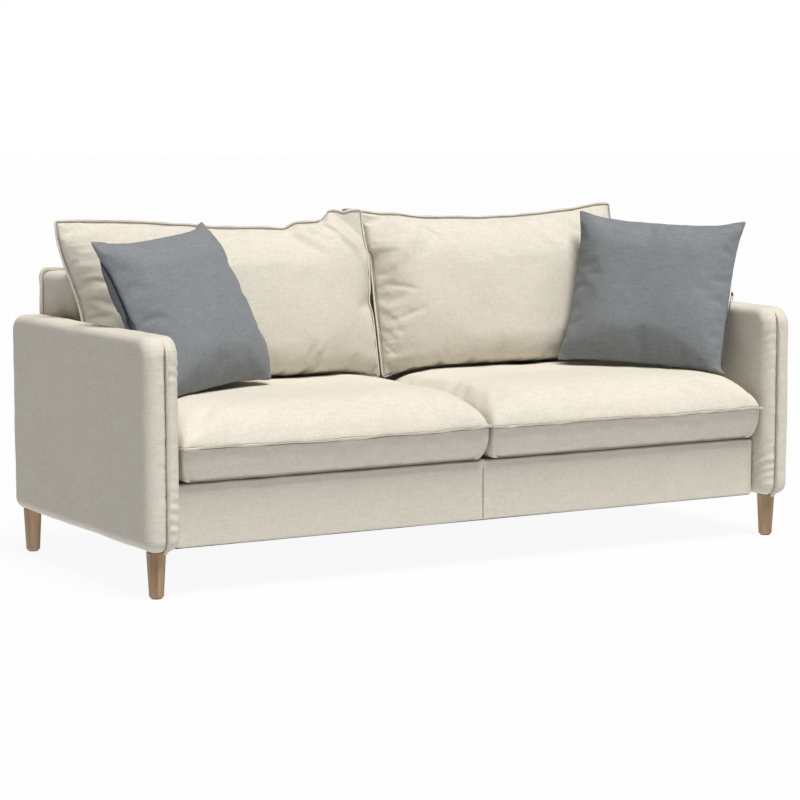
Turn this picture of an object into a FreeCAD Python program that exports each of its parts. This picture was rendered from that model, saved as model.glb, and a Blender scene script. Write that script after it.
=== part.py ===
import FreeCAD, Part
import math
import os
from FreeCAD import Placement, Rotation, Vector

# Two-seat sofa: timber frame on four tapered legs, padded slab arms and back,
# two loose seat cushions, two loose back cushions and two scatter pillows.
# Millimetres. Origin on the floor at the middle of the footprint, +X along the
# width towards the right arm as seen from the front, -Y to the front, +Z up.

# ---- driving dimensions ----
OVERALL_WIDTH = 1990.0
OVERALL_DEPTH = 900.0
FABRIC_BOTTOM = 118.0
ARM_TOP = 650.0
ARM_THICK = 94.0
BACK_TOP = 766.0
BACK_THICK = 203.0
RAIL_FACE_Y = -388.0
RAIL_TOP = 279.0
SEAT_BOTTOM = 285.0
SEAT_SEAM = 372.0
SEAT_CROWN = 469.0
FABRIC = 1.7
GAP = 0.5
TIMBER = 25.0
FLANGE_PROUD = 12.0
FLANGE_THICK = 4.0

# ---- dimensions that follow ----
HALF_DEPTH = OVERALL_DEPTH / 2
ARM_MID_X = OVERALL_WIDTH / 2 - ARM_THICK / 2
ARM_INNER_X = OVERALL_WIDTH / 2 - ARM_THICK
ARM_FRONT_Y = -HALF_DEPTH + FLANGE_PROUD
BACK_FRONT_Y = HALF_DEPTH - BACK_THICK
INSIDE_X = ARM_INNER_X - 2.0

ARM_CORNERS = (50.0, 40.0, 30.0, 30.0)
ARM_EDGE = 26.0
ARM_PAD = 8.0
ARM_END_PAD = 13.0
ARM_CORE_INSET = 6.0
ARM_PANEL = 3.0
ARM_TIMBER = 40.0
ARM_POST_STEP = 62.0

BASE_X = 895.0
BASE_BOTTOM = 122.0
BASE_TOP = 270.0
RAIL_FOAM = 10.0
RAIL_FRONT_Y = RAIL_FACE_Y + FABRIC + GAP + RAIL_FOAM
SPRING_RAIL_Y = 215.0
BACK_RAIL_Y = 423.0
RAIL_EDGE = 7.0
RAIL_COVER_BACK_Y = -349.0
BLOCK_LEG = 58.0
BLOCK_HEIGHT = 66.0

SPRING_COUNT = 10
SPRING_WIRE = 3.6
SPRING_HALF_WIDTH = 24.0
SPRING_BEND = 12.0
SPRING_BENDS = 24
SPRING_Z = BASE_TOP + 3.3

LEG_TOP_R = 24.5
LEG_FOOT_R = 18.5
LEG_X = 950.0
LEG_FRONT_Y = -383.0
LEG_BACK_Y = 417.0
LEG_TOP_BEVEL = 2.0
LEG_FOOT_ROUND = 3.0
GLIDE_HEIGHT = 3.0
GLIDE_R = 14.0
BOLT_R = 4.0
BOLT_CLEAR_R = 6.0
FRAME_BOLT_LENGTH = 104.0
BACK_BOLT_LENGTH = 46.0

BACK_TIMBER = 40.0
BACK_PAD = 15.0
BACK_EDGE = 24.0
BACK_PANEL_THICK = 2.0
BACK_FLANGE_PROUD = 8.0
BAND_WIDTH = 50.0
BAND_THICK = 1.5

SEAT_HALF_X = 444.0
SEAT_MID_X = 449.0
SEAT_FRONT_Y = -430.0
SEAT_BACK_Y = 244.0
SEAT_FLANGE = 8.0
SEAT_FOAM_INSET = FABRIC + 2.5

BACK_CUSHION_MID = (449.0, 205.0, 690.0)
BACK_CUSHION_LEAN = 11.1
BACK_CUSHION_HALF_X = 436.0
BACK_CUSHION_HALF_Z = 228.0
BACK_CUSHION_FRONT = 116.0
BACK_CUSHION_REAR = 29.0
BACK_CUSHION_FLANGE = 9.0

LEFT = -1
RIGHT = 1
SIDES = {"left": LEFT, "right": RIGHT}

# centre, turn about Z, lean back, tilt in its own plane, half width, half height
PILLOWS = {
    "left": ((-690.0, -31.0, 682.0), 22.7, 24.7, -5.0, 229.0, 225.0),
    "right": ((740.0, -112.0, 686.0), -46.9, 21.2, 3.4, 230.0, 232.0),
}
PILLOW_FRONT = 66.0
PILLOW_REAR = 36.0
ZIP_TOP = 15.0
ZIP_LENGTH = 200.0


# ---- helpers ----
def span_box(x_range, y_range, z_range):
    """A box between two values on each axis."""
    size = [max(r) - min(r) for r in (x_range, y_range, z_range)]
    corner = Vector(min(x_range), min(y_range), min(z_range))
    return Part.makeBox(size[0], size[1], size[2], corner)


def mirror_x(shape, side):
    """The shape itself on the right, its mirror image on the left."""
    if side == RIGHT:
        return shape
    return shape.mirror(Vector(0, 0, 0), Vector(1, 0, 0))


def level_rod(radius, x0, x1, y, z):
    """A cylinder along X between two values of x."""
    return Part.makeCylinder(radius, x1 - x0, Vector(x0, y, z), Vector(1, 0, 0))


def group(shapes):
    return Part.makeCompound(shapes)


def save(name, shape):
    solids = shape.Solids
    if not solids or not shape.isValid():
        raise RuntimeError(name + " is not a valid solid")
    shape.exportStep("parts/" + name + ".step")


def rounded_profile(y0, y1, z0, z1, corners, x):
    """Closed wire in a YZ plane; corners are front-top, back-top, back-bottom, front-bottom."""
    top_front, top_back, low_back, low_front = corners
    corner_data = [
        (Vector(x, y0 + top_front, z1 - top_front), top_front, 90),
        (Vector(x, y1 - top_back, z1 - top_back), top_back, 0),
        (Vector(x, y1 - low_back, z0 + low_back), low_back, -90),
        (Vector(x, y0 + low_front, z0 + low_front), low_front, -180),
    ]
    arcs = []
    for centre, radius, low_angle in corner_data:
        points = []
        for angle in (low_angle + 90, low_angle + 45, low_angle):
            turn = math.radians(angle)
            points.append(centre + Vector(0, math.cos(turn), math.sin(turn)) * radius)
        arcs.append(points)
    edges = []
    for index, points in enumerate(arcs):
        edges.append(Part.Arc(*points).toShape())
        following = arcs[(index + 1) % len(arcs)][0]
        edges.append(Part.LineSegment(points[2], following).toShape())
    return Part.Wire(edges)


def slab(x_mid, half_x, y0, y1, z0, z1, corners, edge_radius):
    """Rounded slab: a side profile extruded along X, its perimeter edges rounded."""
    wire = rounded_profile(y0, y1, z0, z1, corners, x_mid - half_x)
    solid = Part.Face(wire).extrude(Vector(2 * half_x, 0, 0))
    if edge_radius <= 0:
        return solid
    rim = []
    for edge in solid.Edges:
        box = edge.BoundBox
        if box.XLength < 0.01:
            rim.append(edge)
    return solid.makeFillet(edge_radius, rim)


def lens_section(x, top, bottom, front, rear):
    """Closed wire in a YZ plane: half an ellipse to the front, half to the rear."""
    half = (top - bottom) / 2
    centre = Vector(x, 0, (top + bottom) / 2)
    tip_top = centre + Vector(0, 0, half)
    tip_low = centre - Vector(0, 0, half)
    front_half = Part.Ellipse(tip_top, centre + Vector(0, -front, 0), centre)
    rear_half = Part.Ellipse(tip_top, centre + Vector(0, rear, 0), centre)
    half_turn = math.pi
    front_edge = Part.ArcOfEllipse(front_half, 0, half_turn).toShape()
    rear_edge = Part.ArcOfEllipse(rear_half, 0, half_turn).toShape()
    assert (front_edge.Vertexes[-1].Point - tip_low).Length < 0.01
    return Part.Wire([front_edge, rear_edge])


def lens(half_x, half_z, front, rear, pull_in, edge_half, inset):
    """Knife-edged cushion about the origin: crowned front and rear, edges pulled in mid-side."""
    sections = []
    steps = 8
    for index in range(steps + 1):
        along = -1 + 2 * index / steps
        swell = math.sqrt(max(0.0, 1 - abs(along) ** 2.6))
        reach = half_z - pull_in * (1 - along * along) - inset
        thick_front = edge_half + (front - edge_half) * swell - inset / 2
        thick_rear = edge_half + (rear - edge_half) * swell - inset / 2
        x = along * (half_x - inset * 1.5)
        sections.append(lens_section(x, reach, -reach, thick_front, thick_rear))
    return Part.makeLoft(sections, True, False)


def place(shape, centre, turn=0.0, lean=0.0, tilt=0.0):
    rotation = Rotation(Vector(0, 0, 1), turn) * Rotation(Vector(1, 0, 0), -lean)
    rotation = rotation * Rotation(Vector(0, 1, 0), tilt)
    placed = shape.copy()
    placed.Placement = Placement(Vector(*centre), rotation)
    return placed


# ---- seat base ----
def front_rail():
    return span_box((-BASE_X, BASE_X), (RAIL_FRONT_Y, RAIL_FRONT_Y + TIMBER), (BASE_BOTTOM, BASE_TOP))


def back_rail():
    return span_box((-BASE_X, BASE_X), (BACK_RAIL_Y, BACK_RAIL_Y + TIMBER), (BASE_BOTTOM, BASE_TOP))


def side_rail(side):
    rail = span_box((BASE_X - TIMBER, BASE_X), (RAIL_FRONT_Y + TIMBER, BACK_RAIL_Y),
                    (BASE_BOTTOM, BASE_TOP))
    for y, z in frame_bolt_places():
        rail = rail.cut(level_rod(BOLT_R + 0.5, BASE_X - TIMBER - 5, BASE_X + 5, y, z))
    return mirror_x(rail, side)


def spring_rail():
    return span_box((-BASE_X + TIMBER, BASE_X - TIMBER), (SPRING_RAIL_Y, SPRING_RAIL_Y + TIMBER),
                    (BASE_BOTTOM + 48, BASE_TOP))


def centre_beam():
    return span_box((-15, 15), (RAIL_FRONT_Y + TIMBER, SPRING_RAIL_Y), (BASE_BOTTOM, BASE_TOP - 46))


def corner_blocks():
    blocks = []
    for side in SIDES.values():
        for y, step in ((RAIL_FRONT_Y + TIMBER, 1), (BACK_RAIL_Y, -1)):
            x = BASE_X - TIMBER
            corner = Vector(x, y, BASE_BOTTOM + 8)
            along_x = corner + Vector(-BLOCK_LEG, 0, 0)
            along_y = corner + Vector(0, BLOCK_LEG * step, 0)
            face = Part.Face(Part.makePolygon([corner, along_x, along_y, corner]))
            blocks.append(mirror_x(face.extrude(Vector(0, 0, BLOCK_HEIGHT)), side))
    return group(blocks)


def spring_path(x):
    """Zigzag run from the front rail to the spring rail: cross bars joined by half circles."""
    straight = SPRING_HALF_WIDTH - SPRING_BEND
    start_y = RAIL_FRONT_Y + TIMBER / 2
    edges = []
    for bend in range(SPRING_BENDS):
        y = start_y + bend * 2 * SPRING_BEND
        sign = 1 if bend % 2 == 0 else -1
        bar_start = Vector(x - sign * straight, y, SPRING_Z)
        bar_end = Vector(x + sign * straight, y, SPRING_Z)
        edges.append(Part.LineSegment(bar_start, bar_end).toShape())
        if bend < SPRING_BENDS - 1:
            middle = Vector(x + sign * SPRING_HALF_WIDTH, y + SPRING_BEND, SPRING_Z)
            bend_end = Vector(x + sign * straight, y + 2 * SPRING_BEND, SPRING_Z)
            edges.append(Part.Arc(bar_end, middle, bend_end).toShape())
    return Part.Wire(edges)


def spring_places():
    pitch = 2 * (BASE_X - TIMBER) / SPRING_COUNT
    return [-BASE_X + TIMBER + pitch * (index + 0.5) for index in range(SPRING_COUNT)]


def seat_springs():
    springs = []
    for x in spring_places():
        path = spring_path(x)
        start = path.Vertexes[0].Point
        section = Part.Wire(Part.makeCircle(SPRING_WIRE / 2, start, Vector(1, 0, 0)))
        springs.append(path.makePipeShell([section], True, False))
    return group(springs)


def spring_clips():
    first_y = RAIL_FRONT_Y + TIMBER / 2
    last_y = first_y + (SPRING_BENDS - 1) * 2 * SPRING_BEND
    clips = []
    for x in spring_places():
        for y in (first_y, last_y):
            outer = span_box((x - 9, x + 9), (y - 6, y + 6), (BASE_TOP, BASE_TOP + 6.5))
            slot = span_box((x - 10, x + 10), (y - 2.2, y + 7), (BASE_TOP + 1.2, BASE_TOP + 5.4))
            clips.append(outer.cut(slot))
    return group(clips)


def seat_deck_pad():
    return span_box((-868, 868), (-346, 240), (277, 283.5))


def seat_deck_cloth():
    return span_box((-BASE_X, BASE_X), (-348, 242), (283.5, SEAT_BOTTOM))


def front_edges(block):
    """The long edges along the front face of a block."""
    front_y = block.BoundBox.YMin
    return [e for e in block.Edges if e.BoundBox.XLength > 100 and e.BoundBox.YMax < front_y + 1]


def front_rail_padding():
    y0 = RAIL_FACE_Y + FABRIC + GAP
    foam = span_box((-INSIDE_X, INSIDE_X), (y0, y0 + RAIL_FOAM), (FABRIC_BOTTOM + 4, RAIL_TOP - 3))
    return foam.makeFillet(RAIL_EDGE - 1, front_edges(foam))


def front_rail_cover():
    """Two fabric panels that wrap the rail and meet in a seam at the middle."""
    panels = []
    for side in SIDES.values():
        outer = span_box((0.4, INSIDE_X), (RAIL_FACE_Y, RAIL_COVER_BACK_Y), (FABRIC_BOTTOM + 1, RAIL_TOP))
        outer = outer.makeFillet(RAIL_EDGE, front_edges(outer))
        inner = span_box((-1, INSIDE_X + 5), (RAIL_FACE_Y + FABRIC, RAIL_COVER_BACK_Y + 9),
                         (FABRIC_BOTTOM + 1 + FABRIC, RAIL_TOP - FABRIC))
        inner = inner.makeFillet(RAIL_EDGE - FABRIC, front_edges(inner))
        panels.append(mirror_x(outer.cut(inner), side))
    return group(panels)


def dust_cover():
    return span_box((-BASE_X, BASE_X), (RAIL_FACE_Y + 8, HALF_DEPTH - 4), (FABRIC_BOTTOM, FABRIC_BOTTOM + 1))


# ---- legs ----
def leg_places():
    return {"leg_front_left": (-LEG_X, LEG_FRONT_Y), "leg_front_right": (LEG_X, LEG_FRONT_Y),
            "leg_back_left": (-LEG_X, LEG_BACK_Y), "leg_back_right": (LEG_X, LEG_BACK_Y)}


def right_leg_places():
    return [(LEG_X, LEG_FRONT_Y), (LEG_X, LEG_BACK_Y)]


def leg(x, y):
    """Tapered turned leg with a softened foot, drilled from above for its hanger bolt."""
    top = FABRIC_BOTTOM
    points = [Vector(0, 0, GLIDE_HEIGHT),
              Vector(LEG_FOOT_R - LEG_FOOT_ROUND, 0, GLIDE_HEIGHT),
              Vector(LEG_FOOT_R, 0, GLIDE_HEIGHT + LEG_FOOT_ROUND),
              Vector(LEG_TOP_R, 0, top - LEG_TOP_BEVEL),
              Vector(LEG_TOP_R - LEG_TOP_BEVEL, 0, top),
              Vector(0, 0, top),
              Vector(0, 0, GLIDE_HEIGHT)]
    body = Part.Face(Part.makePolygon(points)).revolve(Vector(0, 0, 0), Vector(0, 0, 1), 360)
    body = Part.Solid(body) if body.ShapeType == "Shell" else body
    body = body.cut(Part.makeCylinder(BOLT_R + 0.1, 42, Vector(0, 0, top - 40)))
    body = body.cut(Part.makeCylinder(1.3, 16, Vector(0, 0, 0)))
    body.translate(Vector(x, y, 0))
    return body


def leg_hanger_bolts():
    return group([Part.makeCylinder(BOLT_R, 76, Vector(x, y, FABRIC_BOTTOM - 38))
                  for x, y in leg_places().values()])


def leg_tee_nuts():
    """Flanged tee nuts let into the top of each arm's bottom timber."""
    nuts = []
    top = BASE_BOTTOM + ARM_TIMBER
    for x, y in leg_places().values():
        barrel = Part.makeCylinder(5.2, 11, Vector(x, y, top - 11))
        plate = Part.makeCylinder(11, 1.5, Vector(x, y, top))
        nuts.append(barrel.fuse(plate).cut(Part.makeCylinder(BOLT_R + 0.1, 20, Vector(x, y, top - 14))))
    return group(nuts)


def leg_glides():
    glides = []
    for x, y in leg_places().values():
        disc = Part.makeCylinder(GLIDE_R, GLIDE_HEIGHT, Vector(x, y, 0))
        rim = [e for e in disc.Edges if e.BoundBox.ZMax < 0.1]
        disc = disc.makeFillet(1.2, rim)
        nail = Part.makeCylinder(1.2, 12, Vector(x, y, GLIDE_HEIGHT - 0.5))
        glides.append(disc.fuse(nail))
    return group(glides)


# ---- arms ----
def arm_slab(inset, edge_radius=ARM_EDGE):
    corners = [radius - inset for radius in ARM_CORNERS]
    return slab(ARM_MID_X, ARM_THICK / 2 - inset, ARM_FRONT_Y + inset, HALF_DEPTH - inset,
                FABRIC_BOTTOM + inset, ARM_TOP - inset, corners, edge_radius - inset)


def arm_core_half():
    return ARM_THICK / 2 - FABRIC - GAP - ARM_PAD


def arm_y_range():
    return ARM_FRONT_Y + ARM_END_PAD, HALF_DEPTH - ARM_END_PAD


def clear_frame_bolts(shape):
    """Open the arm's inner face where the frame bolts come through it."""
    for y, z in frame_bolt_places():
        shape = shape.cut(level_rod(BOLT_CLEAR_R, ARM_INNER_X - 5, ARM_INNER_X + 25, y, z))
    return shape


def clear_leg_bolts(shape):
    """Open the arm's underside where the legs' hanger bolts come through it."""
    for x, y in right_leg_places():
        shape = shape.cut(Part.makeCylinder(BOLT_CLEAR_R, 10, Vector(x, y, FABRIC_BOTTOM - 2)))
    return shape


def frame_bolt_places():
    """(y, z) of the bolts through each arm's bottom timber and the side rail."""
    return [(-250.0, 142.0), (300.0, 142.0)]


def arm_cover(side):
    shell = arm_slab(0).cut(arm_slab(FABRIC))
    return mirror_x(clear_leg_bolts(clear_frame_bolts(shell)), side)


def arm_padding(side):
    y0, y1 = arm_y_range()
    half = arm_core_half()
    cavity = span_box((ARM_MID_X - half, ARM_MID_X + half), (y0, y1),
                      (FABRIC_BOTTOM, ARM_TOP - ARM_END_PAD))
    cavity = cavity.common(arm_slab(ARM_CORE_INSET - GAP))
    shell = arm_slab(FABRIC + GAP).cut(cavity)
    return mirror_x(clear_leg_bolts(clear_frame_bolts(shell)), side)


def arm_panels(side):
    """Hardboard sheets on both faces of the arm's timbers."""
    y0, y1 = arm_y_range()
    half = arm_core_half()
    sheets = []
    for face in (-1, 1):
        x0 = ARM_MID_X + face * half
        sheet = span_box((x0, x0 - face * ARM_PANEL), (y0 + 1, y1 - 1),
                         (BASE_BOTTOM, ARM_TOP - ARM_END_PAD - 1))
        if face < 0:
            sheet = clear_frame_bolts(sheet)
        sheets.append(mirror_x(sheet.common(arm_slab(ARM_CORE_INSET)), side))
    return group(sheets)


def arm_frame(side):
    """Bottom and top timbers with three posts between them."""
    y0, y1 = arm_y_range()
    half = arm_core_half() - ARM_PANEL
    x_range = (ARM_MID_X - half, ARM_MID_X + half)
    y0, y1 = y0 + 1, y1 - 1
    low = BASE_BOTTOM + ARM_TIMBER
    top = ARM_TOP - ARM_END_PAD - 1
    high = top - ARM_TIMBER
    bottom = span_box(x_range, (y0, y1), (BASE_BOTTOM, low))
    for x, y in right_leg_places():
        bottom = bottom.cut(Part.makeCylinder(5.3, 60, Vector(x, y, BASE_BOTTOM - 5)))
    for y, z in frame_bolt_places():
        bottom = bottom.cut(level_rod(BOLT_R + 0.5, x_range[0] - 5, x_range[1] + 5, y, z))
        bottom = bottom.cut(level_rod(BOLT_CLEAR_R, x_range[1] - 12, x_range[1], y, z))
    inside = arm_slab(ARM_CORE_INSET)
    pieces = [bottom.common(inside), span_box(x_range, (y0, y1), (high, top)).common(inside)]
    front_post = (y0 + ARM_POST_STEP, y0 + ARM_POST_STEP + ARM_TIMBER)
    back_post = (y1 - ARM_POST_STEP - ARM_TIMBER, y1 - ARM_POST_STEP)
    for y_range in (front_post, (-ARM_TIMBER / 2, ARM_TIMBER / 2), back_post):
        pieces.append(span_box(x_range, y_range, (low, high)))
    return group([mirror_x(piece, side) for piece in pieces])


def arm_flange(side):
    """Double flange sewn in the seam down the middle of the arm's front edge."""
    corners = [radius + FLANGE_PROUD for radius in ARM_CORNERS]
    fin = slab(ARM_MID_X, FLANGE_THICK / 2, -HALF_DEPTH, HALF_DEPTH, FABRIC_BOTTOM - FLANGE_PROUD,
               ARM_TOP + FLANGE_PROUD, corners, 0)
    fin = fin.cut(slab(ARM_MID_X, FLANGE_THICK, ARM_FRONT_Y, HALF_DEPTH, FABRIC_BOTTOM, ARM_TOP,
                       ARM_CORNERS, 0))
    reach = span_box((ARM_MID_X - 10, ARM_MID_X + 10), (-HALF_DEPTH - 1, ARM_FRONT_Y + 24), (100, 640))
    return mirror_x(fin.common(reach), side)


def hex_bolt(length):
    """Bolt along +Z with the underside of its head at z = 0."""
    corner_r = 7.5
    head_height = 5.3
    corners = [math.radians(60 * k) for k in range(7)]
    points = [Vector(corner_r * math.cos(a), corner_r * math.sin(a), 0) for a in corners]
    head = Part.Face(Part.makePolygon(points)).extrude(Vector(0, 0, -head_height))
    return head.fuse(Part.makeCylinder(BOLT_R, length + 1, Vector(0, 0, -1)))


def frame_bolts():
    """Hex bolts that clamp the arms to the side rails and hold the back from below."""
    bolts = []
    for side in SIDES.values():
        for y, z in frame_bolt_places():
            bolt = hex_bolt(FRAME_BOLT_LENGTH)
            bolt.rotate(Vector(0, 0, 0), Vector(0, 1, 0), 90)
            bolt.translate(Vector(BASE_X - TIMBER, y, z))
            bolts.append(mirror_x(bolt, side))
    for x, y in back_bolt_places():
        bolt = hex_bolt(BACK_BOLT_LENGTH)
        bolt.translate(Vector(x, y, BASE_TOP - 6))
        bolts.append(bolt)
    return group(bolts)


def frame_tee_nuts():
    nuts = []
    outer_x = ARM_MID_X + arm_core_half() - ARM_PANEL
    for side in SIDES.values():
        for y, z in frame_bolt_places():
            barrel = level_rod(BOLT_CLEAR_R - 0.2, outer_x - 11, outer_x - 1, y, z)
            bore = level_rod(BOLT_R + 0.1, outer_x - 14, outer_x + 6, y, z)
            nuts.append(mirror_x(barrel.cut(bore), side))
    return group(nuts)


# ---- back ----
def back_frame():
    """Box frame of timbers: three front and three rear posts, rails and spacers."""
    t = BACK_TIMBER
    front = (BACK_FRONT_Y + BACK_PAD, BACK_FRONT_Y + BACK_PAD + t)
    rear = (HALF_DEPTH - BACK_PAD - t, HALF_DEPTH - BACK_PAD)
    low = (BASE_TOP, BASE_TOP + t)
    high = (BACK_TOP - 14 - t, BACK_TOP - 14)
    posts_x = (-865.0, -t / 2, 825.0)
    pieces = []
    for y_range in (front, rear):
        for z_range in (low, high):
            rail = span_box((-865, 865), y_range, z_range)
            if y_range == front and z_range == low:
                for x, y in back_bolt_places():
                    rail = rail.cut(Part.makeCylinder(BOLT_R + 0.1, 60, Vector(x, y, BASE_TOP - 5)))
            pieces.append(rail)
        for x in posts_x:
            pieces.append(span_box((x, x + t), y_range, (low[1], high[0])))
    for x in posts_x:
        for z_range in (low, high):
            pieces.append(span_box((x, x + t), (front[1], rear[0]), z_range))
    return group(pieces)


def back_bolt_places():
    """(x, y) of the bolts up through the back's front bottom timber."""
    return [(x, SPRING_RAIL_Y + 61) for x in (-600.0, -200.0, 200.0, 600.0)]


def back_webbing():
    """Upright elastic bands on the front timbers, three level bands laid over them."""
    face_y = BACK_FRONT_Y + BACK_PAD
    middle_y = face_y - BAND_THICK
    low = BASE_TOP + 4
    high = BACK_TOP - 18
    bands = []
    for side in SIDES.values():
        for index in range(5):
            x = 90 + 160 * index
            bands.append(mirror_x(span_box((x, x + BAND_WIDTH), (middle_y, face_y), (low, high)), side))
    for z in (380.0, 500.0, 620.0):
        bands.append(span_box((-860, 860), (middle_y - BAND_THICK, middle_y), (z, z + BAND_WIDTH)))
    return group(bands)


def back_shell(inset, rear_y):
    """The back's block with its top and end edges rounded."""
    block = span_box((-INSIDE_X + inset, INSIDE_X - inset), (BACK_FRONT_Y + inset, rear_y),
                     (BASE_TOP + 10, BACK_TOP - inset))
    soft = [e for e in block.Edges
            if e.BoundBox.ZMax > BACK_TOP - inset - 0.1 and e.BoundBox.YMin < rear_y - 0.1]
    return block.makeFillet(BACK_EDGE - inset, soft)


def back_padding():
    outer = back_shell(FABRIC + GAP, HALF_DEPTH - 4.5)
    cavity = span_box((-888, 888), (BACK_FRONT_Y + 11, HALF_DEPTH - 13), (0, BACK_TOP - 12))
    return outer.cut(cavity)


def back_cover():
    """Fabric over the front, ends and top of the back, open below and behind."""
    outer = back_shell(0, HALF_DEPTH - BACK_PANEL_THICK)
    inner = back_shell(FABRIC, HALF_DEPTH + 5)
    inner = inner.fuse(inner.translated(Vector(0, 0, -30)))
    return outer.cut(inner)


def back_rear_panel():
    """Outside back: one fabric panel from the top of the back down to the underside."""
    return span_box((-BASE_X, BASE_X), (HALF_DEPTH - BACK_PANEL_THICK, HALF_DEPTH),
                    (FABRIC_BOTTOM + 4, BACK_TOP - 2))


def back_flange():
    """Sewn flange round the top of the outside back and a little way down each end."""
    reach = INSIDE_X + BACK_FLANGE_PROUD
    outer = span_box((-reach, reach), (HALF_DEPTH - 7, HALF_DEPTH - 3),
                     (ARM_TOP + 6, BACK_TOP + BACK_FLANGE_PROUD))
    inner = span_box((-INSIDE_X, INSIDE_X), (HALF_DEPTH - 20, HALF_DEPTH + 1), (0, BACK_TOP))
    return outer.cut(inner)


# ---- seat cushions ----
def crown_across(along):
    """Share of the crown's height at a place from one end of the cushion (-1) to the other (1)."""
    return max(0.0, 1 - abs(along) ** 8) ** 0.4


def crown_deep(along):
    """The same from the front of the cushion (-1) to its rear (1)."""
    return math.sqrt(max(0.0, 1 - abs(along) ** 5))


def seat_section(y, half_x, z0, z1, rise):
    """Section across the cushion: flat bottom, upright sides, arched top."""
    left_low = Vector(-half_x, y, z0)
    left_high = Vector(-half_x, y, z1)
    right_high = Vector(half_x, y, z1)
    right_low = Vector(half_x, y, z0)
    points = [left_high]
    steps = 16
    for index in range(1, steps):
        along = math.sin(math.pi * (index / steps - 0.5))
        points.append(Vector(along * half_x, y, z1 + rise * crown_across(along)))
    points.append(right_high)
    arch = Part.BSplineCurve()
    arch.interpolate(points)
    edges = [Part.LineSegment(left_low, left_high).toShape(), arch.toShape(),
             Part.LineSegment(right_high, right_low).toShape(),
             Part.LineSegment(right_low, left_low).toShape()]
    return Part.Wire(edges)


def seat_block(inset):
    """Boxed cushion with a crowned top, centred on x = 0."""
    y0 = SEAT_FRONT_Y + inset
    y1 = SEAT_BACK_Y - inset
    sections = []
    steps = 12
    for index in range(steps + 1):
        along = math.sin(math.pi * (index / steps - 0.5))
        y = (y0 + y1) / 2 + along * (y1 - y0) / 2
        rise = (SEAT_CROWN - SEAT_SEAM - 2) * crown_deep(along) + 2
        half_x = SEAT_HALF_X - inset
        sections.append(seat_section(y, half_x, SEAT_BOTTOM + inset, SEAT_SEAM - inset, rise))
    return Part.makeLoft(sections, True, False)


def seat_cushion_cover(side):
    shell = seat_block(0).cut(seat_block(FABRIC))
    shell.translate(Vector(SEAT_MID_X, 0, 0))
    return mirror_x(shell, side)


def seat_cushion_foam(side):
    block = seat_block(SEAT_FOAM_INSET)
    block.translate(Vector(SEAT_MID_X, 0, 0))
    return mirror_x(block, side)


def seat_cushion_flange(side):
    """Sewn flange along the front of the top seam."""
    y1 = SEAT_FRONT_Y
    strip = span_box((-SEAT_HALF_X, SEAT_HALF_X), (y1 - SEAT_FLANGE, y1), (SEAT_SEAM - 3, SEAT_SEAM + 1))
    strip.translate(Vector(SEAT_MID_X, 0, 0))
    return mirror_x(strip, side)


# ---- back cushions ----
def back_cushion_lens(inset):
    return lens(BACK_CUSHION_HALF_X, BACK_CUSHION_HALF_Z, BACK_CUSHION_FRONT, BACK_CUSHION_REAR,
                8.0, 7.0, inset)


def put_back_cushion(shape, side):
    x, y, z = BACK_CUSHION_MID
    return place(shape, (side * x, y, z), lean=BACK_CUSHION_LEAN)


def back_cushion_cover(side):
    return put_back_cushion(back_cushion_lens(0).cut(back_cushion_lens(FABRIC)), side)


def back_cushion_fill(side):
    return put_back_cushion(back_cushion_lens(FABRIC + GAP), side)


def back_cushion_flange(side):
    """Sewn flange along both ends of the cushion."""
    strips = []
    for end in (-1, 1):
        x0 = end * BACK_CUSHION_HALF_X
        strips.append(span_box((x0, x0 + end * BACK_CUSHION_FLANGE), (-2, 2),
                               (-BACK_CUSHION_HALF_Z + 12, BACK_CUSHION_HALF_Z - 2)))
    return put_back_cushion(group(strips), side)


# ---- scatter pillows ----
def put_pillow(shape, name):
    centre, turn, lean, tilt = PILLOWS[name][:4]
    return place(shape, centre, turn, lean, tilt)


def pillow_lens(name, inset):
    half_x, half_z = PILLOWS[name][4:6]
    return lens(half_x, half_z, PILLOW_FRONT, PILLOW_REAR, 9.0, 5.0, inset)


def pillow_cover(name):
    return put_pillow(pillow_lens(name, 0).cut(pillow_lens(name, FABRIC)), name)


def pillow_insert(name):
    return put_pillow(pillow_lens(name, FABRIC + GAP), name)


def zip_base_x(name):
    return SIDES[name] * PILLOWS[name][4]


def pillow_zipper(name):
    """Two tapes with a coil between them, on the pillow's outer side edge."""
    side = SIDES[name]
    x0 = zip_base_x(name)
    z_range = (ZIP_TOP - ZIP_LENGTH, ZIP_TOP)
    pieces = []
    for face in (-1, 1):
        pieces.append(span_box((x0, x0 + side * 0.8), (face * 0.9, face * 4.4), z_range))
    pieces.append(span_box((x0, x0 + side * 1.6), (-0.8, 0.8), z_range))
    return put_pillow(group(pieces), name)


def pillow_zipper_slider(name):
    """Slider body over the coil, with its pull hanging from a small bridge."""
    side = SIDES[name]
    x0 = zip_base_x(name) + side * 2.0
    z_top = ZIP_TOP - 2
    body = span_box((x0, x0 + side * 1.8), (-3.2, 3.2), (z_top - 9, z_top))
    bridge = span_box((x0 + side * 1.8, x0 + side * 3.2), (-1, 1), (z_top - 7, z_top - 3))
    pull = span_box((x0 + side * 3.2, x0 + side * 4.2), (-2.2, 2.2), (z_top - 24, z_top - 3))
    return put_pillow(body.fuse(bridge).fuse(pull), name)


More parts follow.
